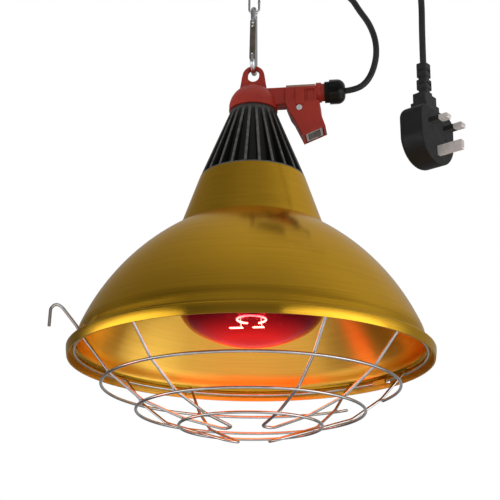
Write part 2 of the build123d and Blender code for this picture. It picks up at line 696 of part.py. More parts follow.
def bulb_shell():
    """Screw cap of the bulb, with the flared collar that holds the glass."""
    foot_z, thread_z, shoulder_z, top_z = SCREW_CAP_Z
    return turned((
        (0, foot_z), (COLLAR_R, foot_z), (SCREW_CAP_R, thread_z), (SCREW_CAP_R, shoulder_z),
        (CAP_END_R, top_z), (0, top_z)))


def bulb_insulator():
    """Black glass between the cap and its contact."""
    low_z, high_z = SCREW_CAP_Z[3], TIP_Z[0]
    return turned(((0, low_z), (INSULATOR_R[0], low_z), (INSULATOR_R[1], high_z), (0, high_z)))


def bulb_tip():
    """Solder contact of the bulb."""
    low_z, high_z = TIP_Z
    return turned(((0, low_z), (TIP_CONTACT_R[0], low_z), (TIP_CONTACT_R[1], high_z), (0, high_z)))


def bulb_stem():
    """Glass stem with the two lead wires that carry the filament."""
    top_r, top_z = STEM_TOP
    stem = turned((
        (0, top_z), (top_r, top_z), (STEM_R[1], top_z - 16), (STEM_R[0], STEM_LOW_Z + 2), (0, STEM_LOW_Z)))
    seat_z = FILAMENT_Z + FILAMENT_WIRE_R + 0.2
    for side in (-1, 1):
        top = (side * LEAD_TOP_X, 0, STEM_LOW_Z + 4)
        stem += rod(LEAD_R, top, (side * FILAMENT_R, 0, seat_z))
    return stem


def bulb_filament():
    """Coiled filament: an open loop on its leads, with two tails hung below it."""
    loop = Pos(0, 0, FILAMENT_Z) * Torus(FILAMENT_R, FILAMENT_WIRE_R)
    body = loop - Pos(0, FILAMENT_R, FILAMENT_Z) * Box(FILAMENT_GAP, 8, 6)
    for low_x, high_x, hang_x in TAILS_X:
        body += rod(FILAMENT_WIRE_R, (low_x, TAIL_Y, TAIL_Z), (high_x, TAIL_Y, TAIL_Z))
        loop_y = -math.sqrt(FILAMENT_R ** 2 - hang_x ** 2)
        body += rod(FILAMENT_WIRE_R / 2, (hang_x, TAIL_Y, TAIL_Z), (hang_x, loop_y, FILAMENT_Z))
    return body


# Guard

def ring(radius, z):
    """Closed wire ring."""
    return Pos(0, 0, z) * Torus(radius, WIRE / 2)


def upper_ring():
    """Ring with its ends apart beside the hinge."""
    radius, z = GUARD_RINGS["upper"]
    turn = 360 - (UPPER_RING_END_DEG - UPPER_RING_START_DEG)
    path = Pos(0, 0, z) * CenterArc((0, 0), radius, UPPER_RING_END_DEG - 90, turn)
    return tube_along(path, WIRE)


def leg_corners():
    """Corners of a leg from the top ring to the lowest ring, as (r, z), seated inside the rings."""
    reach = WIRE - WELD
    corners = []
    for name, (radius, z) in GUARD_RINGS.items():
        inward, upward = GUARD_SIDES[name]
        corners.append((radius + reach * inward, z + reach * upward))
    return corners


def hairpin(azimuth, tip_z, latch=False):
    """One wire of two legs and a rounded tip; the latch has one leg bent over the shade's lip."""
    corners = leg_corners()
    left = [polar(r, azimuth - LEG_HALF_DEG, z) for r, z in corners]
    right = [polar(r, azimuth + LEG_HALF_DEG, z) for r, z in reversed(corners)]
    first = [polar(LEG_TOP[0], azimuth - LEG_HALF_DEG, LEG_TOP[1])]
    first_radii = []
    if latch:
        first = [polar(r, azimuth - LEG_HALF_DEG, z) for r, z in reversed(LATCH_POINTS)]
        first_radii = LATCH_BENDS
    tips = [polar(TIP_R, azimuth - LEG_HALF_DEG, tip_z), polar(TIP_R, azimuth + LEG_HALF_DEG, tip_z)]
    last = [polar(LEG_TOP[0], azimuth + LEG_HALF_DEG, LEG_TOP[1])]
    bends = [LEG_BEND_R] * len(corners)
    radii = first_radii + bends + [TIP_BEND_R] * 2 + bends
    path = FilletPolyline(*first, *left, *tips, *right, *last, radius=radii)
    return tube_along(path, WIRE)


# Snap hook

def hook_tangent():
    """Angle by which the hook's straight spine leans from upright."""
    return math.asin((HOOK_LOW_R - HOOK_HIGH_R) / (hook_high_centre() - hook_low_centre()))


def hook_low_centre():
    return HOOK_LOW_Z + HOOK_LOW_R


def hook_high_centre():
    return HOOK_HIGH_Z - HOOK_HIGH_R


def snap_hook_frame():
    """Pear-shaped wire from the nose round the bottom, up the spine, over the top and down to the pivot."""
    lean = math.degrees(hook_tangent())
    with BuildLine(Plane.YZ) as line:
        low = CenterArc((0, hook_low_centre()), HOOK_LOW_R, NOSE_DEG - 180, 180 - NOSE_DEG + lean)
        high = CenterArc((0, hook_high_centre()), HOOK_HIGH_R, lean, 180 - lean)
        Line(low @ 1, high @ 0)
        Line(high @ 1, (-HOOK_HIGH_R, GATE_PIVOT[1] + 3.2))
    body = tube_along(line.line, HOOK_WIRE)
    nose_y = -HOOK_LOW_R - 0.1
    body += Pos(0, nose_y, hook_low_centre() + 1.6) * Box(TONGUE, 3.0, 5.6)
    eye = rod(2.7, (-TONGUE / 2, *GATE_PIVOT), (TONGUE / 2, *GATE_PIVOT))
    neck_bar = Pos(0, GATE_PIVOT[0] + 0.1, GATE_PIVOT[1] + 2.0) * Box(TONGUE, 4.0, 3.6)
    body += eye + neck_bar
    return body - rod(PIVOT_PIN / 2 + 0.05, (-5, *GATE_PIVOT), (5, *GATE_PIVOT))


def snap_hook_gate():
    """Straight gate, forked over the eye at its pivot and slotted over the nose at its foot."""
    foot = Vector(0, -HOOK_LOW_R - 0.3, GATE_FOOT_Z)
    pivot = Vector(0, *GATE_PIVOT)
    down = foot - pivot
    plane = Plane(origin=pivot, x_dir=(1, 0, 0), z_dir=down)
    body = extrude(plane * Rectangle(GATE_WIDTH, GATE_THICK), down.length)
    body += rod(2.1, (-GATE_WIDTH / 2, *GATE_PIVOT), (GATE_WIDTH / 2, *GATE_PIVOT))
    body -= extrude(plane.offset(-3.0) * Rectangle(FORK_SLOT, 9.0), 9.0)
    body -= extrude(plane.offset(down.length - 6.8) * Rectangle(FORK_SLOT, 9.0), 9.0)
    return body - rod(PIVOT_PIN / 2 + 0.05, (-5, *GATE_PIVOT), (5, *GATE_PIVOT))


def snap_hook_pin():
    """Rivet of the gate."""
    half = GATE_WIDTH / 2
    return rod(PIVOT_PIN / 2, (-half, *GATE_PIVOT), (half, *GATE_PIVOT))


# Chain and S-hook

def link_heights():
    """Height of the lowest wire centre of each link, seated on the one above."""
    lowest = HOOK_HIGH_Z - (HOOK_WIRE + LINK_WIRE) / 2 - LINK_GAP
    pitch = LINK_INNER - LINK_GAP
    return [lowest + pitch * i for i in range(len(LINK_YAW_DEG))]


def chain_link(yaw, z):
    """Welded long link."""
    length = LINK_INNER + LINK_WIRE
    width = LINK_WIDTH - LINK_WIRE
    with BuildLine(Plane.XZ) as line:
        straight = length / 2 - width / 2
        Line((width / 2, -straight), (width / 2, straight))
        CenterArc((0, straight), width / 2, 0, 180)
        Line((-width / 2, straight), (-width / 2, -straight))
        CenterArc((0, -straight), width / 2, 180, 180)
    return Pos(0, 0, z + length / 2) * Rot(0, 0, yaw) * tube_along(line.line, LINK_WIRE)


def s_low_centre():
    """Centre height of the S-hook's lower bend."""
    top_wire = link_heights()[-1] + LINK_INNER + LINK_WIRE
    return top_wire - (S_WIRE + LINK_WIRE) / 2 - LINK_GAP + S_BEND_R


def hang_hook():
    """S-hook of two open bends joined by a slanting shank."""
    low = s_low_centre()
    high = low + S_CENTRES
    slant = math.degrees(math.asin(2 * S_BEND_R / S_CENTRES))
    turn = 180 + slant + S_ARC_TIP_DEG
    with BuildLine(Plane.YZ) as line:
        lower = CenterArc((0, low), S_BEND_R, S_ARC_TIP_DEG, -turn)
        upper = CenterArc((0, high), S_BEND_R, -slant, turn)
        Line(lower @ 1, upper @ 0)
    return tube_along(line.line, S_WIRE)


HANG_Z = s_low_centre() + S_CENTRES + S_BEND_R - S_WIRE / 2


# Mains lead

def coil_state(turns):
    """Centre line of the coil after a number of turns: point and direction."""
    layer = min(int(turns / COIL_TURNS), COIL_LAYERS - 1)
    within = turns - layer * COIL_TURNS
    outer = COIL_INNER_R + COIL_PITCH * COIL_TURNS
    inward = layer % 2 == 0
    radius = outer - COIL_PITCH * within if inward else COIL_INNER_R + COIL_PITCH * within
    climb = 0.0
    for edge in range(1, COIL_LAYERS):
        past = (turns - edge * COIL_TURNS) / 0.5 + 0.5
        climb += min(max(past, 0.0), 1.0)
    smooth = math.floor(climb) + (1 - math.cos(math.pi * (climb % 1.0))) / 2
    y = COIL_PITCH * ((COIL_LAYERS - 1) / 2 - smooth)
    angle = -math.pi / 2 - 2 * math.pi * turns
    return Vector(COIL_CENTRE[0] + radius * math.cos(angle), y, COIL_CENTRE[1] + radius * math.sin(angle))


def coil_direction(turns):
    """Unit direction of the coil's centre line."""
    step = 0.002
    total = COIL_TURNS * COIL_LAYERS
    if turns < step or turns > total - step:
        angle = -math.pi / 2 - 2 * math.pi * turns
        return Vector(math.sin(angle), 0, -math.cos(angle))
    return (coil_state(turns + step) - coil_state(turns - step)).normalized()


def biarc(start, start_dir, end, end_dir):
    """Two tangent arcs between points with given directions."""
    span = end - start
    both = start_dir + end_dir
    spread = 2 * (1 - start_dir.dot(end_dir))
    lean = span.dot(both)
    reach = (math.sqrt(lean * lean + spread * span.dot(span)) - lean) / spread
    middle = (start + end + (start_dir - end_dir) * reach) / 2
    return [TangentArc(start, middle, tangent=start_dir),
            TangentArc(middle, end, tangent=-end_dir, tangent_from_first=False)]


def cord_coil():
    """Four layers of loops that spiral in and out, with a straight lead at each end."""
    total = COIL_TURNS * COIL_LAYERS
    steps = round(total * 4)
    marks = [total * i / steps for i in range(steps + 1)]
    points = [coil_state(m) for m in marks]
    directions = [coil_direction(m) for m in marks]
    edges = [Line(points[0] - directions[0] * CORD, points[0])]
    for i in range(steps):
        edges += biarc(points[i], directions[i], points[i + 1], directions[i + 1])
    edges.append(Line(points[-1], points[-1] + directions[-1] * CORD))
    path = Wire([e for edge in edges for e in edge.edges()])
    solid = tube_along(path, CORD)
    report_tube("cord_coil", path, solid)
    report_coil_gap(path)
    return solid


def report_coil_gap(path):
    """Print the least gap between separate turns of the coil."""
    count = 900
    samples = [path @ (i / count) for i in range(count + 1)]
    spacing = path.length / count
    near = int(60 / spacing)
    least = min((samples[i] - samples[j]).length
                for i in range(0, count, 2) for j in range(i + near, count))
    print(f"coil length {path.length:.1f}, least gap {least - CORD:.2f}")


def report_tube(name, path, solid):
    """Print a tube's length and its volume against section times length."""
    ideal = path.length * math.pi * CORD ** 2 / 4
    print(f"{name}: length {path.length:.1f}, volume ratio {solid.volume / ideal:.4f}")


def cord_tube(name, points):
    """Tube along straight runs with arcs as large as the runs allow."""
    points = [Vector(*p) for p in points]
    radii = []
    for before, here, after in zip(points, points[1:], points[2:]):
        turn = math.radians((here - before).get_angle(after - here))
        shorter = min((here - before).length, (after - here).length)
        radii.append(0.45 * shorter / math.tan(turn / 2))
    print(name, "radii", [round(r) for r in radii])
    path = FilletPolyline(*points, radius=radii)
    solid = tube_along(path, CORD)
    report_tube(name, path, solid)
    return solid


def cord_to_lamp():
    """Stretch from the gland up to the coil."""
    end = coil_state(0)
    return cord_tube("cord_to_lamp", (
        (CORD_START_X, 0, GLAND_Z), (89.0, 0, GLAND_Z), (101.5, 0, 250.0), (108.5, 0, 269.0),
        (109.0, 0, 288.0), (103.5, 0, 306.0), (94.5, 1.5, 321.0), (88.5, 5.0, 334.5),
        (79.0, 8.0, 344.5), (67.5, end.Y, end.Z), (end.X + CORD, end.Y, end.Z)))


def cord_to_plug():
    """Stretch from the coil over and down to the plug."""
    start = coil_state(COIL_TURNS * COIL_LAYERS)
    top = PLUG_AT[2] + sum(step[0] for step in RELIEF_STEPS)
    return cord_tube("cord_to_plug", (
        (start.X + CORD, start.Y, start.Z), (73.0, start.Y, start.Z), (92.0, -14.5, 426.5),
        (114.0, -25.0, 416.0), (132.0, -36.0, 395.0), (143.0, -43.0, 366.0), (147.0, -46.0, 333.0),
        (149.6, -45.6, 300.0), (PLUG_AT[0], PLUG_AT[1], 268.0), (PLUG_AT[0], PLUG_AT[1], top)))


def coil_tie():
    """Band that holds the coil's near side to the chain."""
    width = TIE_X[1] - TIE_X[0]
    middle = sum(TIE_X) / 2
    inside = RectangleRounded(width, 2 * TIE_HALF_Y, TIE_CORNER)
    outside = RectangleRounded(width + 2 * TIE_THICK, 2 * (TIE_HALF_Y + TIE_THICK), TIE_CORNER + TIE_THICK)
    band = extrude(Pos(middle, 0, TIE_Z[0]) * (outside - inside), TIE_Z[1] - TIE_Z[0])
    lock = box_between((8.0, -TIE_HALF_Y - 5.2, TIE_Z[0] - 1.2), (14.5, -TIE_HALF_Y - 0.4, TIE_Z[1] + 1.2))
    return band + lock


# Plug

def on_plug(shape):
    """Place a shape drawn in the plug's own frame: pins along +x, cable at the top."""
    return Pos(*PLUG_AT) * Rot(0, 0, PLUG_YAW_DEG) * shape


def plug_solid():
    """Moulded body, flat and wide at the cable, rounded at the earth pin."""
    waist = PLUG_HALF_WIDTH - PLUG_TAPER
    face = Plane(origin=(PLUG_DEPTH / 2, 0, 0), x_dir=(0, 1, 0), z_dir=(1, 0, 0))
    with BuildSketch(face) as outline:
        with BuildLine():
            top = Line((-PLUG_HALF_WIDTH, 0), (PLUG_HALF_WIDTH, 0))
            right = Line(top @ 1, (waist, PLUG_WAIST_Z))
            bottom = ThreePointArc(right @ 1, (0, -PLUG_HEIGHT), (-waist, PLUG_WAIST_Z))
            Line(bottom @ 1, top @ 0)
        make_face()
        fillet(outline.vertices().group_by(Axis.Y)[-1], PLUG_TOP_CORNER)
        fillet(outline.vertices().group_by(Axis.Y)[0], PLUG_LOW_CORNER)
    body = extrude(outline.sketch, -PLUG_DEPTH)
    body = fillet(body.faces().sort_by(Axis.X)[0].edges(), PLUG_BACK_ROUND)
    return fillet(body.faces().sort_by(Axis.X)[-1].edges(), PLUG_FACE_ROUND)


def plug_pin(y):
    """Line or neutral pin, necked where its sleeve sits, drawn in the plug's frame."""
    face = PLUG_DEPTH / 2
    half_y, half_z = PIN_SECTION[0] / 2, PIN_SECTION[1] / 2
    neck_y, neck_z = half_y - PIN_NECK, half_z - PIN_NECK
    pin = box_between((face - PIN_ROOT, y - neck_y, LIVE_PINS_Z - neck_z),
                      (face + SLEEVE_LENGTH, y + neck_y, LIVE_PINS_Z + neck_z))
    tip = box_between((face + SLEEVE_LENGTH, y - half_y, LIVE_PINS_Z - half_z),
                      (face + PIN_LENGTH, y + half_y, LIVE_PINS_Z + half_z))
    return pin + chamfer(tip.faces().sort_by(Axis.X)[-1].edges(), PIN_CHAMFER)


def earth_pin():
    """Longer earth pin, drawn in the plug's frame."""
    face = PLUG_DEPTH / 2
    z = LIVE_PINS_Z - PIN_SPACING
    pin = box_between((face - PIN_ROOT, -EARTH_SECTION[0] / 2, z - EARTH_SECTION[1] / 2),
                      (face + EARTH_LENGTH, EARTH_SECTION[0] / 2, z + EARTH_SECTION[1] / 2))
    return chamfer(pin.faces().sort_by(Axis.X)[-1].edges(), PIN_CHAMFER)


def pin_sleeve(y):
    """Insulating sleeve at the root of a line or neutral pin, drawn in the plug's frame."""
    face = PLUG_DEPTH / 2
    sleeve = box_between((face, y - PIN_SECTION[0] / 2, LIVE_PINS_Z - PIN_SECTION[1] / 2),
                         (face + SLEEVE_LENGTH, y + PIN_SECTION[0] / 2, LIVE_PINS_Z + PIN_SECTION[1] / 2))
    return sleeve - plug_pin(y)


def fuse_cover():
    """Fuse carrier flush with the pin face, drawn in the plug's frame."""
    face = PLUG_DEPTH / 2
    cover = Pos(face - FUSE_COVER[2] / 2, 0, FUSE_Z) * Box(FUSE_COVER[2], FUSE_COVER[0], FUSE_COVER[1])
    notch = Pos(face, FUSE_COVER[0] / 2 - 2.0, FUSE_Z) * Box(1.6, 1.2, 4.0)
    return cover - notch


def fuse():
    """Cartridge fuse behind its carrier, drawn in the plug's frame."""
    x = PLUG_DEPTH / 2 - FUSE_COVER[2] - FUSE_R - 0.15
    return rod(FUSE_R, (x, -FUSE_LENGTH / 2, FUSE_Z), (x, FUSE_LENGTH / 2, FUSE_Z))


def plug_body():
    """Plug moulding with the seats of its pins, fuse and fuse carrier."""
    half_spacing = PIN_SPACING / 2
    body = plug_solid()
    body -= plug_pin(-half_spacing)
    body -= plug_pin(half_spacing)
    body -= earth_pin()
    pocket = Box(FUSE_POCKET, FUSE_COVER[0], FUSE_COVER[1])
    return body - Pos((PLUG_DEPTH - FUSE_POCKET) / 2, 0, FUSE_Z) * pocket


def plug_strain_relief():
    """Stepped sleeve of rounded blocks and necks over the lead, with windows that let it bend."""
    low = 0.0
    blocks = []
    for height, width, depth in RELIEF_STEPS:
        blocks.append(extrude(Pos(0, 0, low) * RectangleRounded(depth, width, RELIEF_CORNER), height))
        low += height
    body = blocks[0].fuse(*blocks[1:])
    for z, width, depth in RELIEF_WINDOWS:
        for side in (-1, 1):
            body -= Pos(side * depth / 2, 0, z) * Box(2 * WINDOW_DEPTH, WINDOW_SHARE * width, WINDOW_HEIGHT)
            body -= Pos(0, side * width / 2, z) * Box(WINDOW_SHARE * depth, 2 * WINDOW_DEPTH, WINDOW_HEIGHT)
    return body


os.makedirs("parts", exist_ok=True)
link_z = link_heights()
half_pin = PIN_SPACING / 2
pieces = {
    "hang_hook": hang_hook(),
    "snap_hook_frame": snap_hook_frame(),
    "snap_hook_gate": snap_hook_gate(),
    "snap_hook_pin": snap_hook_pin(),
    "cord_to_lamp": cord_to_lamp(),
    "cord_coil": cord_coil(),
    "cord_to_plug": cord_to_plug(),
    "coil_tie": coil_tie(),
    "plug_strain_relief": on_plug(plug_strain_relief()),
    "plug_body": on_plug(plug_body()),
    "plug_fuse_cover": on_plug(fuse_cover()),
    "plug_fuse": on_plug(fuse()),
    "plug_earth_pin": on_plug(earth_pin()),
    "plug_line_pin": on_plug(plug_pin(-half_pin)),
    "plug_neutral_pin": on_plug(plug_pin(half_pin)),
    "plug_pin_sleeves": on_plug(Compound([pin_sleeve(-half_pin), pin_sleeve(half_pin)])),
    "cap": cap(),
    "arm_lid": arm_lid(),
    "terminal_block": terminal_block(),
    "switch_housing": switch_housing(),
    "switch_body": switch_body(),
    "rocker": rocker(),
    "cover_screws": cover_screws(),
    "gland_body": gland_body(),
    "gland_seal": gland_seal(),
    "gland_nut": gland_nut(),
    "neck": neck(),
    "neck_screws": neck_screws(),
    "lampholder": lampholder(),
    "screw_shell": screw_shell(),
    "centre_contact": centre_contact(),
    "holder_terminals": holder_terminals(),
    "holder_bridge": holder_bridge(),
    "holder_screws": holder_screws(),
    "bulb_glass": bulb_glass(),
    "bulb_shell": bulb_shell(),
    "bulb_insulator": bulb_insulator(),
    "bulb_tip": bulb_tip(),
    "bulb_stem": bulb_stem(),
    "bulb_filament": bulb_filament(),
    "shade": shade(),
    "guard_top_ring": ring(*TOP_RING),
    "guard_ring_upper": upper_ring(),
    "guard_ring_middle": ring(*GUARD_RINGS["middle"]),
    "guard_ring_lower": ring(*GUARD_RINGS["lower"]),
    "guard_latch_hairpin": hairpin(LATCH_DEG, TIP_FRONT_Z, latch=True),
}
for i, yaw in enumerate(LINK_YAW_DEG):
    pieces[f"chain_link_{i + 1}"] = chain_link(yaw, link_z[i])
for name, azimuth in HAIRPIN_DEG.items():
    tip_z = TIP_FRONT_Z if azimuth < 90 else TIP_REAR_Z
    pieces[f"guard_hairpin_{name}"] = hairpin(azimuth, tip_z)
for name, piece in pieces.items():
    export_step(Pos(0, 0, -HANG_Z) * piece, f"parts/{name}.step")
print(f"hanging point is {HANG_Z:.2f} above the lip")
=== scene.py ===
# %% [markdown]
# # A heat lamp for young animals
# The lamp hangs by a snap hook and a short chain. Its solids come packed as a fixed frame: every piece
# that is made here sits in that frame, in metres, and all but the mains lead ride on one of the frame's
# bodies.

# %% Load the frame
import math
import bmesh
import bpy
import numpy as np
from mathutils import Matrix, Vector


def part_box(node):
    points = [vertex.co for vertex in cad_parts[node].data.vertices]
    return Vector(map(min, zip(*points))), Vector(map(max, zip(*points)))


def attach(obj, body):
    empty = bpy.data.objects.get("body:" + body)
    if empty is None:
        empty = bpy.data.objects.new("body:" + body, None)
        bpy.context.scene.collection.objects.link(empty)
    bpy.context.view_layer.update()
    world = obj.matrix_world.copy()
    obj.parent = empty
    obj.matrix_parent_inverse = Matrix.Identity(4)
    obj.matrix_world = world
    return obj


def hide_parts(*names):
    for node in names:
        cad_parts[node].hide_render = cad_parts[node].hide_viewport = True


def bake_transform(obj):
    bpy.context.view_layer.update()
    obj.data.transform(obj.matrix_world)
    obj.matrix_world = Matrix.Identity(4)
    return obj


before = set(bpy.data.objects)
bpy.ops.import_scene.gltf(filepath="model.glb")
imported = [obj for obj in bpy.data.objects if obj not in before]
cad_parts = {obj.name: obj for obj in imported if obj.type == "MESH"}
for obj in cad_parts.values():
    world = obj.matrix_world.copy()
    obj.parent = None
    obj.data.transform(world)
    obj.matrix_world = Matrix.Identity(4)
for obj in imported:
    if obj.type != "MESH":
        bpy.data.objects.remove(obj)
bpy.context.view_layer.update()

MM = 0.001
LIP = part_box("shade")[0].z


# %% [markdown]
# ## Camera
# The photograph was taken from a metre away and from below the rim, so that the bulb shows under the
# lip. A long lens with a small sideways shift gives its framing, and a slight roll its leaning axis.

# %% Camera
CAMERA_AZIMUTH = math.radians(8.0)
CAMERA_DISTANCE = 1.0
CAMERA_DROP = 0.245
CAMERA_PITCH = math.radians(18.925)
CAMERA_ROLL = math.radians(0.5)
CAMERA_LENS = 90.13
CAMERA_SHIFT = -0.0042

camera = bpy.data.objects.new("camera", bpy.data.cameras.new("camera"))
bpy.context.scene.collection.objects.link(camera)
bpy.context.scene.camera = camera
camera.data.sensor_width = 36.0
camera.data.lens = CAMERA_LENS
camera.data.shift_x = CAMERA_SHIFT
camera.data.clip_end = 50.0
spot = Matrix.Translation((CAMERA_DISTANCE * math.sin(CAMERA_AZIMUTH),
                           -CAMERA_DISTANCE * math.cos(CAMERA_AZIMUTH), LIP - CAMERA_DROP))
turn = Matrix.Rotation(CAMERA_AZIMUTH, 4, "Z") @ Matrix.Rotation(math.pi / 2 + CAMERA_PITCH, 4, "X")
camera.matrix_world = spot @ turn @ Matrix.Rotation(CAMERA_ROLL, 4, "Z")
print("camera at", [round(v, 3) for v in camera.matrix_world.translation])


# %% [markdown]
# ## Surfaces from arrays
# Each new piece is a grid of points worked out as one array. A grid has rows and columns, four
# neighbouring points make a face, and points that fall together at a seam or pole are merged.

# %% Grid to mesh
SHARP_ANGLE = math.radians(48.0)
MERGE_DISTANCE = 2e-6


def place(x, y, z):
    """Millimetres above the lip to points in the frame: coordinates times 0.001, plus the lip's height."""
    return np.stack(np.broadcast_arrays(x * MM, y * MM, z * MM + LIP), axis=-1)


def grid_faces(rows, columns):
    """Quads of a grid: a point, the next along its column, that one's row neighbour, and its own."""
    first = np.arange(rows - 1)[:, None] * columns + np.arange(columns - 1)[None, :]
    return np.stack([first, first + columns, first + columns + 1, first + 1], axis=-1).reshape(-1, 4)


def surface(name, grids, body, material, replaced=()):
    """One mesh from grids of points, with row and column shares as its UV map, merged and turned outwards."""
    points, faces, shares, count = [], [], [], 0
    for grid in grids:
        rows, columns = grid.shape[:2]
        points.append(grid.reshape(-1, 3))
        faces.append(grid_faces(rows, columns) + count)
        along, around = np.meshgrid(np.linspace(0, 1, rows), np.linspace(0, 1, columns), indexing="ij")
        shares.append(np.stack([around, along], axis=-1).reshape(-1, 2))
        count += rows * columns
    faces = np.concatenate(faces)
    mesh = bpy.data.meshes.new(name)
    mesh.from_pydata(np.concatenate(points).tolist(), [], faces.tolist())
    mesh.uv_layers.new(name="UVMap").data.foreach_set("uv", np.concatenate(shares)[faces.ravel()].ravel())
    work = bmesh.new()
    work.from_mesh(mesh)
    bmesh.ops.remove_doubles(work, verts=work.verts, dist=MERGE_DISTANCE)
    bmesh.ops.recalc_face_normals(work, faces=work.faces)
    work.to_mesh(mesh)
    work.free()
    mesh.polygons.foreach_set("use_smooth", np.ones(len(mesh.polygons), bool))
    mesh.set_sharp_from_angle(angle=SHARP_ANGLE)
    mesh.materials.append(material)
    piece = bpy.data.objects.new(name, mesh)
    bpy.context.scene.collection.objects.link(piece)
    if body:
        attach(piece, body)
    if replaced:
        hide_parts(*replaced)
    print(name, len(mesh.vertices), "points", len(mesh.polygons), "faces")
    return piece


print("a grid of 3 by 4 points has", len(grid_faces(3, 4)), "faces")


# %% [markdown]
# ## Turning an outline and carrying a circle
# Bulb and screw caps are outlines turned about the lamp's axis. Wires and the mains lead are circles
# carried along a path. Such a circle needs two directions at each station, and a reference direction
# that the path never runs along gives them without any twist.

# %% Lathe and tube
def unit(v):
    """A vector, or each vector of an array, divided by its length."""
    return v / np.linalg.norm(v, axis=-1, keepdims=True)


def lathe(outline, columns=96):
    """Point = (r cos a, r sin a, z): an outline of (r, z) pairs is turned once round the lamp's axis."""
    a = np.linspace(0, 2 * np.pi, columns + 1)[None, :]
    r, z = np.asarray(outline, float).T[:, :, None]
    return place(r * np.cos(a), r * np.sin(a), z)


def tube(path, radius, reference, sides=14, capped=True):
    """Point = station + radius (cos a side + sin a up).

    The side is the reference less its part along the path, and up is square to path and side.
    """
    along = unit(np.gradient(path, axis=0))
    if np.allclose(path[0], path[-1]):
        along[0] = along[-1] = unit(path[1] - path[-2])
    reference = np.broadcast_to(reference, path.shape)
    side = unit(reference - np.sum(reference * along, axis=1, keepdims=True) * along)
    up = np.cross(along, side)
    a = np.linspace(0, 2 * np.pi, sides + 1)[None, :, None]
    radius = np.broadcast_to(radius, len(path))[:, None, None]
    ring = path[:, None, :] + radius * (np.cos(a) * side[:, None, :] + np.sin(a) * up[:, None, :])
    if not capped:
        return ring
    low = np.broadcast_to(path[0], ring[:1].shape)
    high = np.broadcast_to(path[-1], ring[-1:].shape)
    return np.concatenate([low, ring, high])


print("a turned outline of 2 points has a grid of", lathe([(1.0, 0.0), (1.0, 1.0)]).shape[:2])


# %% [markdown]
# ## Nodes in few words
# Finishes and the studio use the same few nodes over and over. Each helper adds one of them to a tree,
# links or sets its inputs, and hands back its output, so that a node tree reads like a sum.

# %% Node helpers
def add(tree, kind, links=None, **values):
    """New node of a kind, with properties set and input sockets linked or given numbers."""
    node = tree.nodes.new(kind)
    for label, value in values.items():
        setattr(node, label, value)
    for label, source in (links or {}).items():
        if isinstance(source, bpy.types.NodeSocket):
            tree.links.new(source, node.inputs[label])
        else:
            node.inputs[label].default_value = source
    return node


def maths(tree, operation, *values):
    """A sum over numbers or sockets."""
    return add(tree, "ShaderNodeMath", dict(enumerate(values)), operation=operation).outputs[0]


def range_between(tree, value, low, high, start=0.0, end=1.0, way="LINEAR"):
    """A value that runs from start to end, spread from low to high."""
    return add(tree, "ShaderNodeMapRange", {"Value": value, "From Min": start, "From Max": end,
                                            "To Min": low, "To Max": high}, interpolation_type=way).outputs[0]


def blended(tree, share, first, second):
    """Two numbers mixed by a share."""
    return add(tree, "ShaderNodeMix", {0: share, 2: first, 3: second}).outputs[0]


def here(tree):
    """Place of the point that is being shaded, in the frame."""
    return add(tree, "ShaderNodeTexCoord").outputs["Object"]


def height_of(tree, point):
    """Height of a point."""
    return add(tree, "ShaderNodeSeparateXYZ", {0: point}).outputs["Z"]


def level_part(tree, point):
    """A point without its height, and its distance from the lamp's upright axis."""
    level = add(tree, "ShaderNodeVectorMath", {0: point, 1: (1.0, 1.0, 0.0)}, operation="MULTIPLY").outputs[0]
    return level, add(tree, "ShaderNodeVectorMath", {0: level}, operation="LENGTH").outputs["Value"]


print("node helpers", [f.__name__ for f in (add, maths, range_between, blended, here, height_of, level_part)])


# %% [markdown]
# ## Shared effects
# Four effects are node groups: soft cloudy changes of tone, the fine grain of a spark-eroded mould, the
# rings that a spinning lathe leaves round the lamp's axis, and a mask of the inside of the shade. Each
# could be repeated in every material, but a group is built once and keeps all of them alike.

# %% Clouds and grain
CLOUD_SPREAD = (0.3, 0.7)


def new_group(name, inputs, outputs):
    """Empty shader group with named number inputs and outputs."""
    group = bpy.data.node_groups.new(name, "ShaderNodeTree")
    for label, value in inputs.items():
        group.interface.new_socket(label, in_out="INPUT", socket_type="NodeSocketFloat").default_value = value
    for label in outputs:
        group.interface.new_socket(label, in_out="OUTPUT", socket_type="NodeSocketFloat")
    return group, group.nodes.new("NodeGroupInput").outputs, group.nodes.new("NodeGroupOutput").inputs


clouds, given, wanted = new_group("soft_clouds", {"Scale": 40.0, "Low": 0.0, "High": 1.0}, ["Value"])
noise = add(clouds, "ShaderNodeTexNoise", {"Vector": here(clouds), "Scale": given["Scale"], "Detail": 4.0,
                                           "Roughness": 0.55})
clouds.links.new(range_between(clouds, noise.outputs[0], given["Low"], given["High"], *CLOUD_SPREAD),
                 wanted["Value"])

grain, given, wanted = new_group("mould_grain", {"Scale": 1800.0}, ["Height"])
noise = add(grain, "ShaderNodeTexNoise", {"Vector": here(grain), "Scale": given["Scale"], "Detail": 2.0})
grain.links.new(noise.outputs[0], wanted["Height"])
print("groups", clouds.name, grain.name)

# %% Spun rings
spun, given, wanted = new_group("spun_rings", {"Fineness": 900.0, "Reach": 2.5}, ["Ring"])
point = here(spun)
level, from_axis = level_part(spun, point)
heading = add(spun, "ShaderNodeVectorMath", {0: level}, operation="NORMALIZE").outputs[0]
across = maths(spun, "SUBTRACT", height_of(spun, point), from_axis)
lifted = add(spun, "ShaderNodeCombineXYZ", {"Z": maths(spun, "MULTIPLY", across, given["Fineness"])})
around = add(spun, "ShaderNodeVectorMath", {0: heading, "Scale": given["Reach"]}, operation="SCALE")
both = add(spun, "ShaderNodeVectorMath", {0: around.outputs[0], 1: lifted.outputs[0]}, operation="ADD")
noise = add(spun, "ShaderNodeTexNoise", {"Vector": both.outputs[0], "Scale": 1.0, "Detail": 5.0,
                                         "Roughness": 0.7})
spun.links.new(noise.outputs[0], wanted["Ring"])
print("group", spun.name)

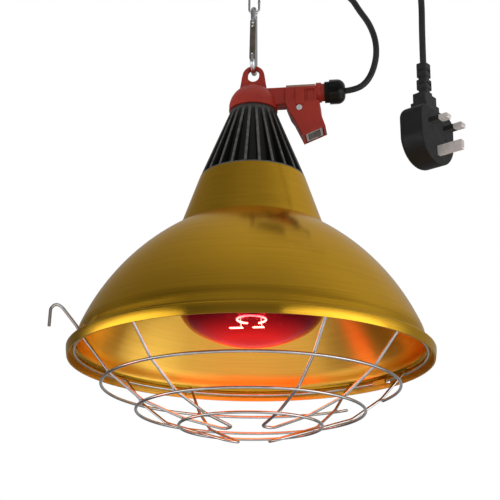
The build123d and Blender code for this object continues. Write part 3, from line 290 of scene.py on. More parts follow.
# %% Inside of the shade
# Middle of the sheet, in millimetres: a circle for the dome, and lines for wall, lip and ledge.
DOME_CENTRE = (-34.6, -50.0)
DOME_MIDDLE = 189.9
WALL_MIDDLE = 141.9
LIP_MIDDLE = 149.4
LEDGE_MIDDLE = 7.4
inner, given, wanted = new_group("inner_face", {}, ["Inside"])
point = here(inner)
from_axis = level_part(inner, point)[1]
height = height_of(inner, point)
aside = maths(inner, "SUBTRACT", from_axis, DOME_CENTRE[0] * MM)
above = maths(inner, "SUBTRACT", height, LIP + DOME_CENTRE[1] * MM)
from_centre = add(inner, "ShaderNodeCombineXYZ", {"X": aside, "Y": above}).outputs[0]
distance = add(inner, "ShaderNodeVectorMath", {0: from_centre}, operation="LENGTH").outputs["Value"]
in_bowl = maths(inner, "MULTIPLY", maths(inner, "LESS_THAN", distance, DOME_MIDDLE * MM),
                maths(inner, "LESS_THAN", from_axis, WALL_MIDDLE * MM))
in_rim = maths(inner, "MULTIPLY", maths(inner, "LESS_THAN", from_axis, LIP_MIDDLE * MM),
               maths(inner, "LESS_THAN", height, LIP + LEDGE_MIDDLE * MM))
inner.links.new(maths(inner, "MAXIMUM", in_bowl, in_rim), wanted["Inside"])
print("group", inner.name)


# %% [markdown]
# ## Making a finish
# A finish starts from the Principled shader. Numbers that hold all over go straight onto its sockets.
# Whatever changes over the surface comes from the groups, through a colour ramp or a bump.

# %% Finish helpers
def finish(name, **numbers):
    """New material with plain numbers on its Principled shader: returns material, tree and shader."""
    material = bpy.data.materials.new(name)
    material.use_nodes = True
    shader = material.node_tree.nodes["Principled BSDF"]
    for label, value in numbers.items():
        shader.inputs[label.replace("_", " ")].default_value = value
    return material, material.node_tree, shader


def feed(tree, shader, **sources):
    """Link what changes over the surface to the shader's sockets of those names."""
    for label, source in sources.items():
        tree.links.new(source, shader.inputs[label.replace("_", " ")])


def effect(tree, group, **numbers):
    """A group placed in a tree with its own values: returns its first output."""
    node = tree.nodes.new("ShaderNodeGroup")
    node.node_tree = group
    for label, value in numbers.items():
        node.inputs[label].default_value = value
    return node.outputs[0]


def colour_between(tree, value, *stops):
    """Colour ramp over a value: each stop is a place and an (r, g, b) colour."""
    node = add(tree, "ShaderNodeValToRGB", {"Fac": value})
    ramp = node.color_ramp
    while len(ramp.elements) < len(stops):
        ramp.elements.new(0.5)
    for element, (at, colour) in zip(ramp.elements, stops):
        element.position = at
        element.color = (*colour, 1.0)
    return node.outputs["Color"]


def mixed(tree, share, first, second):
    """Two colours mixed by a share."""
    return add(tree, "ShaderNodeMix", {0: share, 6: first, 7: second}, data_type="RGBA").outputs[2]


def raised(tree, shader, height, depth, strength):
    """Height drawn on the surface as a bump of that depth in millimetres."""
    bump = add(tree, "ShaderNodeBump", {"Height": height, "Distance": depth * MM, "Strength": strength})
    feed(tree, shader, Normal=bump.outputs[0])


def dress(material, *names):
    """Give a finish to solids of the frame, on their own material slots."""
    for name in names:
        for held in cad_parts[name].material_slots:
            held.material = material
    print(material.name, "on", ", ".join(names))


print("solids to dress", len(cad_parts))


# %% [markdown]
# ## The mains lead
# A three-core rubber lead leaves the gland, swings up beside the chain, lies in a neat tied coil above
# the picture, and comes down again to its plug. Straight runs and arcs would look like bent wire. So its
# line is one smooth spline, with the points of the solid's route as control points, and the tube follows
# points that are read from that spline.

# %% Route of the lead
LEAD = 5.5
COIL_CENTRE = (50.0, 389.0)
COIL_INNER = 23.0
COIL_PITCH = 6.2
COIL_LAYERS = 4
LAYER_TURNS = 2.625
LAYER_CLIMB = 0.5
POINTS_PER_TURN = 16
GLAND_Z = 241.2
NUT_END = 81.0
TO_COIL = [(71.0, 0.0, GLAND_Z), (89.0, 0.0, GLAND_Z), (101.5, 0.0, 250.0), (108.5, 0.0, 269.0),
           (109.0, 0.0, 288.0), (103.5, 0.0, 306.0), (94.5, 1.5, 321.0), (88.5, 5.0, 334.5),
           (79.0, 8.0, 344.5), (67.5, 9.3, 349.725)]
TO_PLUG = [(73.0, -9.3, 428.275), (92.0, -14.5, 426.5), (114.0, -25.0, 416.0), (132.0, -36.0, 395.0),
           (143.0, -43.0, 366.0), (147.0, -46.0, 333.0), (149.6, -45.6, 300.0), (148.7, -45.0, 268.0),
           (148.7, -45.0, 239.5)]


def coil_points():
    """Point = centre + radius (cos a, 0, sin a), and y falls by a pitch from each layer to the next.

    The radius falls by a pitch a turn in one layer and grows by a pitch a turn in the next.
    """
    total = COIL_LAYERS * LAYER_TURNS
    turns = np.linspace(0, total, round(total * POINTS_PER_TURN) + 1)
    layer = np.minimum((turns / LAYER_TURNS).astype(int), COIL_LAYERS - 1)
    within = turns - layer * LAYER_TURNS
    grown = np.where(layer % 2 == 0, LAYER_TURNS - within, within)
    radius = COIL_INNER + COIL_PITCH * grown
    edges = np.arange(1, COIL_LAYERS)[:, None] * LAYER_TURNS
    climb = np.clip((turns - edges) / LAYER_CLIMB + 0.5, 0, 1)
    y = COIL_PITCH * ((COIL_LAYERS - 1) / 2 - np.sum((1 - np.cos(np.pi * climb)) / 2, axis=0))
    angle = -np.pi / 2 - 2 * np.pi * turns
    x, z = COIL_CENTRE[0] + radius * np.cos(angle), COIL_CENTRE[1] + radius * np.sin(angle)
    return np.stack([x, y, z], axis=1)


route = place(*np.concatenate([TO_COIL, coil_points(), TO_PLUG]).T)
print("route of", len(route), "control points")

# %% Line of the lead
curve = bpy.data.curves.new("lead_route", "CURVE")
curve.dimensions = "3D"
spline = curve.splines.new("NURBS")
spline.points.add(len(route) - 1)
spline.points.foreach_set("co", np.column_stack([route, np.ones(len(route))]).ravel())
spline.order_u = 3
spline.use_endpoint_u = True
spline.resolution_u = 8
carrier = bpy.data.objects.new("lead_route", curve)
line = bpy.data.meshes.new_from_object(carrier)
lead_line = np.empty(len(line.vertices) * 3)
line.vertices.foreach_get("co", lead_line)
lead_line = lead_line.reshape(-1, 3)
bpy.data.objects.remove(carrier)
bpy.data.curves.remove(curve)
bpy.data.meshes.remove(line)
lead_run = np.linalg.norm(np.diff(lead_line, axis=0), axis=1).sum()
print("lead", len(lead_line), "stations", round(lead_run, 3), "m")

# %% Rubber sheath
rubber, tree, shader = finish("black_rubber", Specular_IOR_Level=0.2)
dusty = effect(tree, clouds, Scale=60.0)
feed(tree, shader, Roughness=range_between(tree, dusty, 0.34, 0.48),
     Base_Color=colour_between(tree, dusty, (0.0, (0.022, 0.021, 0.021)), (1.0, (0.036, 0.035, 0.035))))
raised(tree, shader, effect(tree, grain, Scale=2600.0), 0.06, 0.35)

lead = surface("mains_lead", [tube(lead_line, LEAD * MM / 2, np.array([0.0, 1.0, 0.0]))], None, rubber,
               ["cord_to_lamp", "cord_coil", "cord_to_plug"])
exit_point = place(NUT_END, 0.0, GLAND_Z)
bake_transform(lead)
plug_nodes = ["plug_strain_relief", "plug_body", "plug_fuse_cover", "plug_fuse", "plug_earth_pin",
              "plug_line_pin", "plug_neutral_pin", "plug_pin_sleeves"]


# %% [markdown]
# ## The spun shade
# A disc of gold anodised aluminium is pressed over a turning former. The tool leaves fine rings round
# the axis, which stretch every highlight up and down the shade. The solid already has the right curve,
# so it keeps it, and the rings come from noise that is long round the axis and short across it. The
# lip gets a slightly crowned band of its own, open where the guard's hinge sits.

# %% Gold
gold, tree, shader = finish("gold_aluminium", Metallic=1.0, Anisotropic=0.8, Anisotropic_Rotation=0.25,
                            Specular_Tint=(0.96, 0.86, 0.66, 1.0))
rings = effect(tree, spun, Fineness=650.0, Reach=1.2)
inside = effect(tree, inner)
outer_gold = colour_between(tree, rings, (0.30, (0.585, 0.314, 0.020)), (0.70, (0.695, 0.381, 0.029)))
# Inside the shade the gold is lighter than outside, which is painted light from the glowing bulb; the
# inside's higher roughness is the reflector's satin finish.
inner_gold_painted_light = colour_between(tree, rings, (0.30, (0.79, 0.465, 0.068)), (0.70, (0.90, 0.550, 0.095)))
satin = effect(tree, spun, Fineness=500.0, Reach=1.0)
outer_gloss = range_between(tree, satin, 0.15, 0.22)
inner_gloss = range_between(tree, satin, 0.28, 0.36)
tangent = add(tree, "ShaderNodeTangent", direction_type="RADIAL", axis="Z")
feed(tree, shader, Base_Color=mixed(tree, inside, outer_gold, inner_gold_painted_light),
     Roughness=blended(tree, inside, outer_gloss, inner_gloss), Tangent=tangent.outputs[0])
raised(tree, shader, rings, 0.03, 0.4)
dress(gold, "shade")

# %% Crowned lip
LIP_R = 150.0
LIP_HIGH = 7.7
LIP_CLEAR = 0.02
LEAN_LOW, LEAN_HIGH = -12.0, -1.0
HINGE_DEG = 135.0
WINDOW_HALF_DEG = 3.4
CROWN_ROWS, BAND_COLUMNS = 13, 181
TOP_IN, TOP_UP = 0.5, 0.7
BACK_IN, BACK_UP = 0.8, 1.0
FOOT_IN = 0.1
# The front is an arc between two leans, and the back of the band is tucked away behind it.
lean = np.radians(np.linspace(LEAN_LOW, LEAN_HIGH, CROWN_ROWS))
crown_r = LIP_HIGH / (np.sin(lean[-1]) - np.sin(lean[0]))
crown = np.stack([LIP_R + LIP_CLEAR + crown_r * (np.cos(lean) - np.cos(lean[0])),
                  crown_r * (np.sin(lean) - np.sin(lean[0]))], axis=-1)
back = [(crown[-1, 0] - TOP_IN, LIP_HIGH + TOP_UP), (LIP_R - BACK_IN, LIP_HIGH + BACK_UP),
        (LIP_R - FOOT_IN, 0.0)]
crown = np.concatenate([crown, back, crown[:1]])
start = math.radians(HINGE_DEG - 90 + WINDOW_HALF_DEG)
turns = np.linspace(start, start + 2 * np.pi - 2 * math.radians(WINDOW_HALF_DEG), BAND_COLUMNS)[None, :]
band = place(crown[:, :1] * np.cos(turns), crown[:, :1] * np.sin(turns), crown[:, 1:])
ends = np.broadcast_to(band.mean(axis=0, keepdims=True), band.shape)
band = np.concatenate([ends[:, :1], band, ends[:, -1:]], axis=1)
surface("crowned_lip", [band], "lamp", gold)


# %% [markdown]
# ## The ribbed neck
# A black moulded neck keeps the heat of the bulb away from the head. Twenty-four fins stand on a cone,
# and the slots between them run out under a plain collar. Slots cut by booleans would leave a ragged
# mesh without fillets. So one section of a fin, with its rounded crest, straight flank and filleted
# foot, is laid out as arrays for every height. The crests of the fins are lighter grey than the slots,
# and towards the cap that grey is dulled by painted shade.

# %% Section of a fin
FINS = 24
FIN_HALF = 1.2
CREST_ROUND = 0.55
FOOT_ROUND = 0.8
FOOT_SHARE = 0.7
SLOT_LOW, SLOT_HIGH = 161.4, 222.5
RUN_OUT = 9.0
RUN_OUT_BEND = 0.7
NECK_LOW, NECK_TOP = 160.2, 226.0
NECK_R, NECK_SLOPE = 45.9, 0.4
NECK_WALL = 2.0
CORE_R, CORE_SLOPE = 36.0, 15.8 / 58.6


def neck_radius(z):
    """Radius of the line of the fins' crests: it falls evenly with height from the shade's edge."""
    return NECK_R - (z - NECK_LOW) * NECK_SLOPE


def core_radius(z):
    """Radius of the slots' floor: a straight line too, which falls less steeply."""
    return CORE_R - (z - SLOT_LOW) * CORE_SLOPE


def fin_section(z, open_share):
    """Angle and radius of half a fin and half a slot at each height.

    Crest, corner arc, flank, foot arc and floor follow each other. The slot's half width is half a pitch
    less half a fin, and the share that is open scales its depth.
    """
    z = z[:, None]
    outer = neck_radius(z)
    depth = outer - core_radius(z)
    foot = np.minimum(FOOT_ROUND, (np.pi * outer / FINS - FIN_HALF) * FOOT_SHARE)
    bend = np.radians([30.0, 60.0, 90.0])[None, :]
    foot_bend = np.radians([0.0, 30.0, 60.0, 90.0])[None, :]
    crest = (FIN_HALF - CREST_ROUND) * np.array([[0.0, 0.5, 0.85, 1.0]]) + 0 * z
    corner = FIN_HALF - CREST_ROUND + CREST_ROUND * np.sin(bend) + 0 * z
    flank = FIN_HALF + 0 * z + np.zeros((1, 2))
    heel = FIN_HALF + foot * (1 - np.cos(foot_bend))
    aside = np.concatenate([crest, corner, flank, heel], axis=1)
    sunk = np.concatenate([0 * crest, CREST_ROUND * (1 - np.cos(bend)) + 0 * corner,
                           CREST_ROUND + (depth - CREST_ROUND - foot) * np.array([[0.35, 0.7]]),
                           depth - foot + foot * np.sin(foot_bend)], axis=1)
    sunk = sunk * open_share[:, None]
    angle = aside / (outer - sunk)
    floor = angle[:, -1:] + (np.pi / FINS - angle[:, -1:]) * np.array([[0.5, 1.0]])
    return (np.concatenate([angle, floor], axis=1),
            outer - np.concatenate([sunk, sunk[:, -1:], sunk[:, -1:]], axis=1))


print("neck radius", neck_radius(NECK_LOW), "to", round(neck_radius(NECK_TOP), 2), "mm")

# %% Fins and bore
FOOT_CHAMFER, TOP_CHAMFER = 0.25, 0.3
COLLAR_Z = 224.0
SPIGOT_R, SPIGOT_TOP = 18.4, 229.8
SHELF_LOW, SHELF_HIGH, SHELF_HOLE = 211.5, 216.0, 7.0
STEP_BELOW, STEP_ABOVE = 0.2, 0.15
RUN_OUT_STEP = 0.8
SLOT_ROWS, RUN_OUT_ROWS = 14, 11
# Rows stand close at the slots' foot and run-out. The bore's rows have the fins' angles, to join them.
heights = np.concatenate([[NECK_LOW, NECK_LOW + FOOT_CHAMFER, SLOT_LOW - STEP_BELOW, SLOT_LOW],
                          np.linspace(SLOT_LOW + STEP_ABOVE, SLOT_HIGH - RUN_OUT, SLOT_ROWS),
                          np.linspace(SLOT_HIGH - RUN_OUT + RUN_OUT_STEP, SLOT_HIGH, RUN_OUT_ROWS),
                          [COLLAR_Z, NECK_TOP - TOP_CHAMFER]])
is_open = np.clip((SLOT_HIGH - heights) / RUN_OUT, 0, 1) ** RUN_OUT_BEND * (heights > SLOT_LOW)
turn_half, radius_half = fin_section(heights, is_open)
# A fin is half a section and its mirror image, and it is turned by whole pitches.
turn_one = np.concatenate([-turn_half[:, :0:-1], turn_half[:, :-1]], axis=1)
radius_one = np.concatenate([radius_half[:, :0:-1], radius_half[:, :-1]], axis=1)
starts = (np.arange(FINS) * 2 * np.pi / FINS - np.pi / 2)[None, :, None]
turns = (turn_one[:, None, :] + starts).reshape(len(heights), -1)
turns = np.concatenate([turns, turns[:, :1] + 2 * np.pi], axis=1)
reach = np.tile(radius_one, FINS)
reach = np.concatenate([reach, reach[:, :1]], axis=1)
reach[0] -= FOOT_CHAMFER
fins = place(reach * np.cos(turns), reach * np.sin(turns), heights[:, None])
bore_line = np.array([(neck_radius(NECK_TOP) - TOP_CHAMFER, NECK_TOP), (SPIGOT_R, NECK_TOP),
                      (SPIGOT_R, SPIGOT_TOP - TOP_CHAMFER), (SPIGOT_R - TOP_CHAMFER, SPIGOT_TOP),
                      (SPIGOT_R - NECK_WALL, SPIGOT_TOP), (SPIGOT_R - NECK_WALL, SHELF_HIGH),
                      (SHELF_HOLE, SHELF_HIGH), (SHELF_HOLE, SHELF_LOW),
                      (core_radius(SHELF_LOW) - NECK_WALL, SHELF_LOW),
                      (CORE_R - NECK_WALL, SLOT_LOW), (CORE_R - NECK_WALL, NECK_LOW)])
bore = place(bore_line[:, :1] * np.cos(turns[-1]), bore_line[:, :1] * np.sin(turns[-1]), bore_line[:, 1:])
neck_grid = np.concatenate([fins, bore, fins[:1]])
print("fins", FINS, "grid", neck_grid.shape)

# %% The neck, its lighter crests and painted shade under the cap
CREST_GREY_DEPTHS = (0.9, 0.1)
COLLAR_FADE = (212.0, 221.0)
CAP_SHADE_LEVEL = 0.8
neck_black, tree, shader = finish("neck_black", Specular_IOR_Level=0.5)
point = here(tree)
height = height_of(tree, point)
lean_in = maths(tree, "MULTIPLY", height, NECK_SLOPE)
to_crest = maths(tree, "ADD", level_part(tree, point)[1], lean_in)
crest_at = neck_radius(0.0) * MM + LIP * NECK_SLOPE
toward_crest = range_between(tree, to_crest, 0.0, 1.0, *(crest_at - deep * MM for deep in CREST_GREY_DEPTHS))
# Painted shade under the cap: near the top of the neck the crests' lighter grey is turned down.
collar = range_between(tree, height, 1.0, CAP_SHADE_LEVEL, *(LIP + z * MM for z in COLLAR_FADE))
spots = effect(tree, clouds, Scale=300.0, Low=0.55, High=1.0)
crest_grey = maths(tree, "MULTIPLY", maths(tree, "MULTIPLY", toward_crest, collar), spots)
feed(tree, shader, Roughness=range_between(tree, spots, 0.40, 0.55),
     Base_Color=colour_between(tree, crest_grey, (0.0, (0.006, 0.006, 0.006)), (0.5, (0.030, 0.030, 0.028)),
                               (1.0, (0.125, 0.120, 0.107))))
raised(tree, shader, effect(tree, grain, Scale=1900.0), 0.06, 0.4)
surface("neck_fins", [neck_grid], "lamp", neck_black, ["neck"])


# %% [markdown]
# ## Moulded plastic
# Cap, side arm and switch housing are moulded in brick red, and gland, tie and plug in black. They are
# solids of the frame. Their finish is a semi-matt plastic whose tone drifts a little, with the grain
# of the mould. The porcelain and glass of the hidden parts are made the same way.

# %% Mouldings
def moulded(name, dark, light, rough, grain_scale=2200.0, depth=0.05, shine=0.45):
    """Moulded finish: clouds between two tones, uneven gloss, and the mould's fine grain as a bump."""
    material, tree, shader = finish(name, Specular_IOR_Level=shine)
    soft = effect(tree, clouds, Scale=55.0)
    feed(tree, shader, Base_Color=colour_between(tree, soft, (0.0, dark), (1.0, light)),
         Roughness=range_between(tree, effect(tree, clouds, Scale=140.0), *rough))
    raised(tree, shader, effect(tree, grain, Scale=grain_scale), depth, 0.4)
    return material


red = moulded("red_plastic", (0.330, 0.024, 0.013), (0.400, 0.032, 0.018), (0.38, 0.52), shine=0.32)
dress(red, "cap", "switch_housing")
# The lid on top of the arm is painted a lighter brown than the red moulding: a painted highlight on its top
# face.
highlit_lid = moulded("lid_with_painted_highlight", (0.300, 0.175, 0.120), (0.360, 0.215, 0.150), (0.38, 0.52))
dress(highlit_lid, "arm_lid")
black = moulded("black_plastic", (0.004, 0.004, 0.004), (0.008, 0.008, 0.008), (0.30, 0.45), shine=0.25)
dress(black, "gland_body", "coil_tie")
nut = moulded("gland_polish", (0.004, 0.004, 0.004), (0.008, 0.008, 0.008), (0.18, 0.28), shine=0.2)
dress(nut, "gland_nut")
seal = moulded("gland_rubber", (0.012, 0.012, 0.012), (0.022, 0.022, 0.021), (0.55, 0.70))
dress(seal, "gland_seal")
charcoal = moulded("plug_charcoal", (0.008, 0.008, 0.009), (0.013, 0.013, 0.014), (0.45, 0.60),
                   grain_scale=2600.0, depth=0.07, shine=0.28)
dress(charcoal, "plug_body", "plug_fuse_cover")
dress(rubber, "plug_strain_relief")
sleeve = moulded("pin_sleeve", (0.008, 0.008, 0.008), (0.014, 0.014, 0.014), (0.28, 0.38))
dress(sleeve, "plug_pin_sleeves")
bezel = moulded("bezel_grey", (0.36, 0.34, 0.32), (0.46, 0.44, 0.42), (0.35, 0.48))
dress(bezel, "switch_body")
rocker_brown = moulded("rocker_brown", (0.110, 0.090, 0.085), (0.150, 0.125, 0.118), (0.30, 0.42))
dress(rocker_brown, "rocker")
porcelain = moulded("porcelain", (0.78, 0.76, 0.71), (0.86, 0.85, 0.81), (0.10, 0.18),
                    grain_scale=600.0, depth=0.04)
dress(porcelain, "lampholder", "terminal_block", "plug_fuse")
dark_glass = moulded("cap_glass", (0.008, 0.008, 0.010), (0.016, 0.016, 0.018), (0.08, 0.16),
                     grain_scale=500.0, depth=0.03)
dress(dark_glass, "bulb_insulator")


# %% [markdown]
# ## Bare and plated metal
# Chain, hook, guard and small contacts are plated. One even grey would look like paint, so each tone is
# a metal with cloudy spots in its gloss, from bright chrome on the guard to the brownish pressed steel
# of the hook's gate.

# %% Metals
GLOSS_FINER = 2.3


def plated(name, dark, light, rough, scale=180.0, metal=1.0):
    """Plated metal: clouds between two tones, gloss that follows finer clouds, and a faint unevenness."""
    material, tree, shader = finish(name, Metallic=metal)
    tone = effect(tree, clouds, Scale=scale)
    gloss = effect(tree, clouds, Scale=scale * GLOSS_FINER)
    feed(tree, shader, Base_Color=colour_between(tree, tone, (0.0, dark), (1.0, light)),
         Roughness=range_between(tree, gloss, *rough))
    raised(tree, shader, gloss, 0.05, 0.25)
    return material


chrome = plated("chrome_wire", (0.50, 0.485, 0.47), (0.63, 0.61, 0.595), (0.05, 0.10))
dress(chrome, "guard_top_ring", "guard_ring_upper", "guard_ring_middle", "guard_ring_lower",
      "guard_hairpin_1", "guard_hairpin_2", "guard_hairpin_3", "guard_latch_hairpin")
zinc = plated("zinc_steel", (0.25, 0.24, 0.23), (0.38, 0.37, 0.35), (0.20, 0.36))
dress(zinc, "neck_screws", "holder_screws", "holder_bridge")
hook_zinc = plated("hook_zinc", (0.55, 0.56, 0.58), (0.80, 0.81, 0.83), (0.12, 0.26))
dress(hook_zinc, "hang_hook", "snap_hook_frame", "snap_hook_pin")
screw_zinc = plated("screw_zinc", (0.74, 0.74, 0.73), (0.88, 0.87, 0.86), (0.22, 0.36), metal=0.35)
dress(screw_zinc, "cover_screws")
gate_steel = plated("gate_steel", (0.22, 0.19, 0.16), (0.38, 0.33, 0.28), (0.28, 0.45))
dress(gate_steel, "snap_hook_gate")
nickel = plated("pin_nickel", (0.74, 0.66, 0.63), (0.84, 0.77, 0.74), (0.28, 0.40), metal=0.4)
dress(nickel, "plug_earth_pin", "plug_line_pin", "plug_neutral_pin")
brass = plated("contact_brass", (0.55, 0.38, 0.14), (0.70, 0.52, 0.22), (0.22, 0.38))
dress(brass, "centre_contact", "holder_terminals")
solder = plated("solder", (0.45, 0.45, 0.45), (0.60, 0.60, 0.60), (0.30, 0.50))
dress(solder, "bulb_tip")


# %% [markdown]
# ## Chain links
# Each link is wire bent to a long loop and butt-welded on one straight side, where a small swelling
# stays. A stretched ring would have thin bends. So the circle of the wire is carried round the loop at
# full size, and its radius grows near the weld.

# %% Welded links
LINKS = 5
LINK_WIRE = 2.0
LINK_BEND = 4.45
LINK_RISE = 22.0
LINK_FIRST = 323.6
LINK_STEP = 19.85
WELD_SWELL = 0.32
WELD_REACH = 1.1
LINK_STATIONS, LINK_SIDES = 97, 16


def loop(share):
    """Round the loop from the middle of one side: straight, half circle, straight, half circle, by length.

    Returns x, z and the distance along the wire from the weld.
    """
    straight = LINK_RISE - 2 * LINK_BEND
    half = straight / 2
    total = 2 * straight + 2 * np.pi * LINK_BEND
    s = share * total
    marks = np.cumsum([half, np.pi * LINK_BEND, straight, np.pi * LINK_BEND])
    stretches = [s < mark for mark in marks]
    top = (s - marks[0]) / LINK_BEND
    low = (s - marks[2]) / LINK_BEND
    x = np.select(stretches, [LINK_BEND + 0 * s, LINK_BEND * np.cos(top),
                              -LINK_BEND + 0 * s, -LINK_BEND * np.cos(low)], LINK_BEND)
    z = np.select(stretches, [s, half + LINK_BEND * np.sin(top),
                              half - (s - marks[1]), -half - LINK_BEND * np.sin(low)], s - total)
    return x, z, np.minimum(s, total - s)


link_zinc = plated("link_zinc", (0.62, 0.60, 0.57), (0.78, 0.76, 0.72), (0.18, 0.34))
along_x, along_z, from_weld = loop(np.linspace(0, 1, LINK_STATIONS))
swollen = LINK_WIRE / 2 * MM * (1 + WELD_SWELL * np.exp(-(from_weld / WELD_REACH) ** 2))
for number in range(LINKS):
    wide, flat = np.eye(3)[[1, 0]] if number % 2 else np.eye(3)[[0, 1]]
    middle = LINK_FIRST + LINK_STEP * number + LINK_RISE / 2
    path = place(*(along_x[:, None] * wide + np.array([0.0, 0.0, 1.0]) * (middle + along_z)[:, None]).T)
    surface(f"welded_link_{number + 1}", [tube(path, swollen, flat, LINK_SIDES, capped=False)], "chain",
            link_zinc, [f"chain_link_{number + 1}"])


# %% [markdown]
# ## Weld nuggets of the guard
# The guard's legs are spot-welded inside its rings. At each crossing the two wires sink together and
# a flat bead of metal fills the notch, so one small squashed ball is repeated at every crossing.

# %% Nuggets
WIRE = 2.5
SINK = 0.5
SEAT = WIRE - SINK
RINGS_RZ = np.array([(121.5, -20.6), (92.7, -40.8), (57.9, -52.4)])
SEAT_HEADINGS = np.array([(-0.66, 0.75), (-0.45, 0.89), (-0.23, 0.97)])
HAIRPIN_DEG = np.array([45.0, 135.0, 225.0, 315.0])
LEG_DEG = np.array([-14.5, 14.5])
NUGGET = np.array([1.75, 1.75, 0.95])
BALL_ROWS, BALL_COLUMNS = 8, 13
# Point of the round ball = (sin b cos a, sin b sin a, cos b).
around = np.linspace(0, 2 * np.pi, BALL_COLUMNS)[None, :]
over = np.linspace(0, np.pi, BALL_ROWS)[:, None]
ball = np.stack(np.broadcast_arrays(np.sin(over) * np.cos(around), np.sin(over) * np.sin(around),
                                    np.cos(over)), axis=-1)


def nugget(ring_rz, seat, turn):
    """Point = crossing + the ball's point times three axes: wide along ring and leg, flat between them."""
    r, z = ring_rz + seat * SEAT / 2
    outward = np.array([np.sin(turn), -np.cos(turn), 0.0])
    aside = np.array([np.cos(turn), np.sin(turn), 0.0])
    across = seat[0] * outward + np.array([0.0, 0.0, seat[1]])
    leg = np.cross(across, aside)
    axes = np.stack([aside, leg, across]) * NUGGET[:, None] * MM
    return place(r * outward[0], r * outward[1], z) + ball @ axes


leg_turns = np.radians((HAIRPIN_DEG[:, None] + LEG_DEG).ravel())
nuggets = [nugget(ring, seat, turn) for ring, seat in zip(RINGS_RZ, SEAT_HEADINGS) for turn in leg_turns]
surface("guard_weld_nuggets", nuggets, "guard", chrome)


# %% [markdown]
# ## The ruby bulb
# A reflector bulb has a ruby lacquered face and a silvered back, blown in one piece of glass. The outline
# is a chain of arcs that run smoothly into each other. Face and back are turned as two shells with a
# real wall, so that the glowing filament is seen through the red glass. The face glows deep red to the
# eye, and the light that it throws on shade and guard is stronger and more orange.

# %% Outline of the bulb
BULB_WALL = 1.2
BULB_LOW, BULB_TOP = 15.0, 167.5
FACE_R, FACE_DEG = 95.0, 30.0
EDGE_R = 30.0
SHOULDER_R, SHOULDER_DEG = 60.0, 42.0
CONE_LENGTH = 30.0
THROAT_R, THROAT_DEG = 30.0, 38.0
BULB_NECK_DEG = 4.0


def arc(start, heading, radius, sweep, count=14):
    """Points on a circle that leaves start along a heading: a positive radius bends to the left."""
    turn = np.radians(heading + np.sign(radius) * np.linspace(0, sweep, count))
    first = np.radians(heading)
    centre = start + radius * np.array([-np.sin(first), np.cos(first)])
    return centre + radius * np.stack([np.sin(turn), -np.cos(turn)], axis=-1)


def bulb_outline(inset):
    """Face and back of the envelope as (r, z) rows, moved inwards by an inset.

    The arcs of face and edge make the face. Shoulder arc, cone, throat arc and neck make the back.
    """
    face = arc(np.array([0.0, BULB_LOW + inset]), 0.0, FACE_R - inset, FACE_DEG, count=24)
    edge = arc(face[-1], FACE_DEG, EDGE_R - inset, 90.0 - FACE_DEG, count=16)
    shoulder = arc(edge[-1], 90.0, SHOULDER_R - inset, SHOULDER_DEG, count=16)
    steep = np.radians(90.0 + SHOULDER_DEG)
    cone_end = shoulder[-1] + CONE_LENGTH * np.array([np.cos(steep), np.sin(steep)])
    throat = arc(cone_end, 90.0 + SHOULDER_DEG, -(THROAT_R + inset), THROAT_DEG)
    rise = BULB_TOP - inset - throat[-1, 1]
    top = throat[-1] + rise * np.array([-np.tan(np.radians(BULB_NECK_DEG)), 1.0])
    return np.concatenate([face, edge[1:]]), np.concatenate([edge[-1:], shoulder[1:], throat, top[None, :]])


face_out, back_out = bulb_outline(0.0)
face_in, back_in = bulb_outline(BULB_WALL)
print("bulb outline", len(face_out), "and", len(back_out), "points")

# %% Ruby face
FACE_REACH = 62.0
GLOW = 13.0
EDGE_GLOW = 36.0
ruby, tree, shader = finish("ruby_glass", Transmission_Weight=1.0, IOR=1.15)
rimward = range_between(tree, level_part(tree, here(tree))[1], 0.0, 1.0, 0.0, FACE_REACH * MM)
lacquer = colour_between(tree, rimward, (0.0, (0.32, 0.046, 0.042)), (0.62, (0.28, 0.040, 0.037)),
                         (0.75, (0.20, 0.004, 0.008)), (1.0, (0.14, 0.001, 0.005)))
shown = colour_between(tree, rimward, (0.0, (0.35, 0.012, 0.012)), (0.35, (0.44, 0.008, 0.008)),
                       (0.6, (0.22, 0.004, 0.006)), (0.8, (0.06, 0.001, 0.003)),
                       (1.0, (0.035, 0.000, 0.002)))
thrown = colour_between(tree, rimward, (0.0, (0.60, 0.110, 0.032)), (0.35, (0.32, 0.058, 0.017)),
                        (0.8, (0.09, 0.016, 0.004)), (1.0, (0.05, 0.008, 0.002)))
ray = add(tree, "ShaderNodeLightPath").outputs
to_eye = maths(tree, "ADD", ray["Transmission Depth"], ray["Is Camera Ray"])
strength = range_between(tree, to_eye, range_between(tree, rimward, GLOW, EDGE_GLOW), 1.0)
feed(tree, shader, Base_Color=lacquer, Emission_Color=mixed(tree, to_eye, thrown, shown),
     Emission_Strength=strength, Roughness=range_between(tree, effect(tree, clouds, Scale=90.0), 0.02, 0.06))
surface("bulb_ruby_face", [lathe(np.concatenate([face_out, face_in[::-1]]))], "bulb", ruby,
        ["bulb_glass"])

# %% Silvered back and clear stem
silver = plated("silvered_glass", (0.70, 0.70, 0.71), (0.82, 0.82, 0.83), (0.05, 0.12), scale=60.0)
back_ring = np.concatenate([back_out, [(0.0, BULB_TOP), (0.0, BULB_TOP - BULB_WALL)], back_in[::-1],
                            back_out[:1]])
surface("bulb_silvered_back", [lathe(back_ring)], "bulb", silver, ["bulb_glass"])
clear, tree, shader = finish("clear_glass", Base_Color=(0.9, 0.92, 0.92, 1.0), Transmission_Weight=1.0,
                             IOR=1.5)
feed(tree, shader, Roughness=range_between(tree, effect(tree, clouds, Scale=200.0), 0.03, 0.08))
dress(clear, "bulb_stem")


# %% [markdown]
# ## The filament
# Tungsten wire, thin as a hair, is wound to a fine coil, and the coil hangs as an open ring with two
# tails on the stem. A plain bent wire would be quicker. The coil is what the eye catches through the
# glass, so a helix is carried along ring and tails.

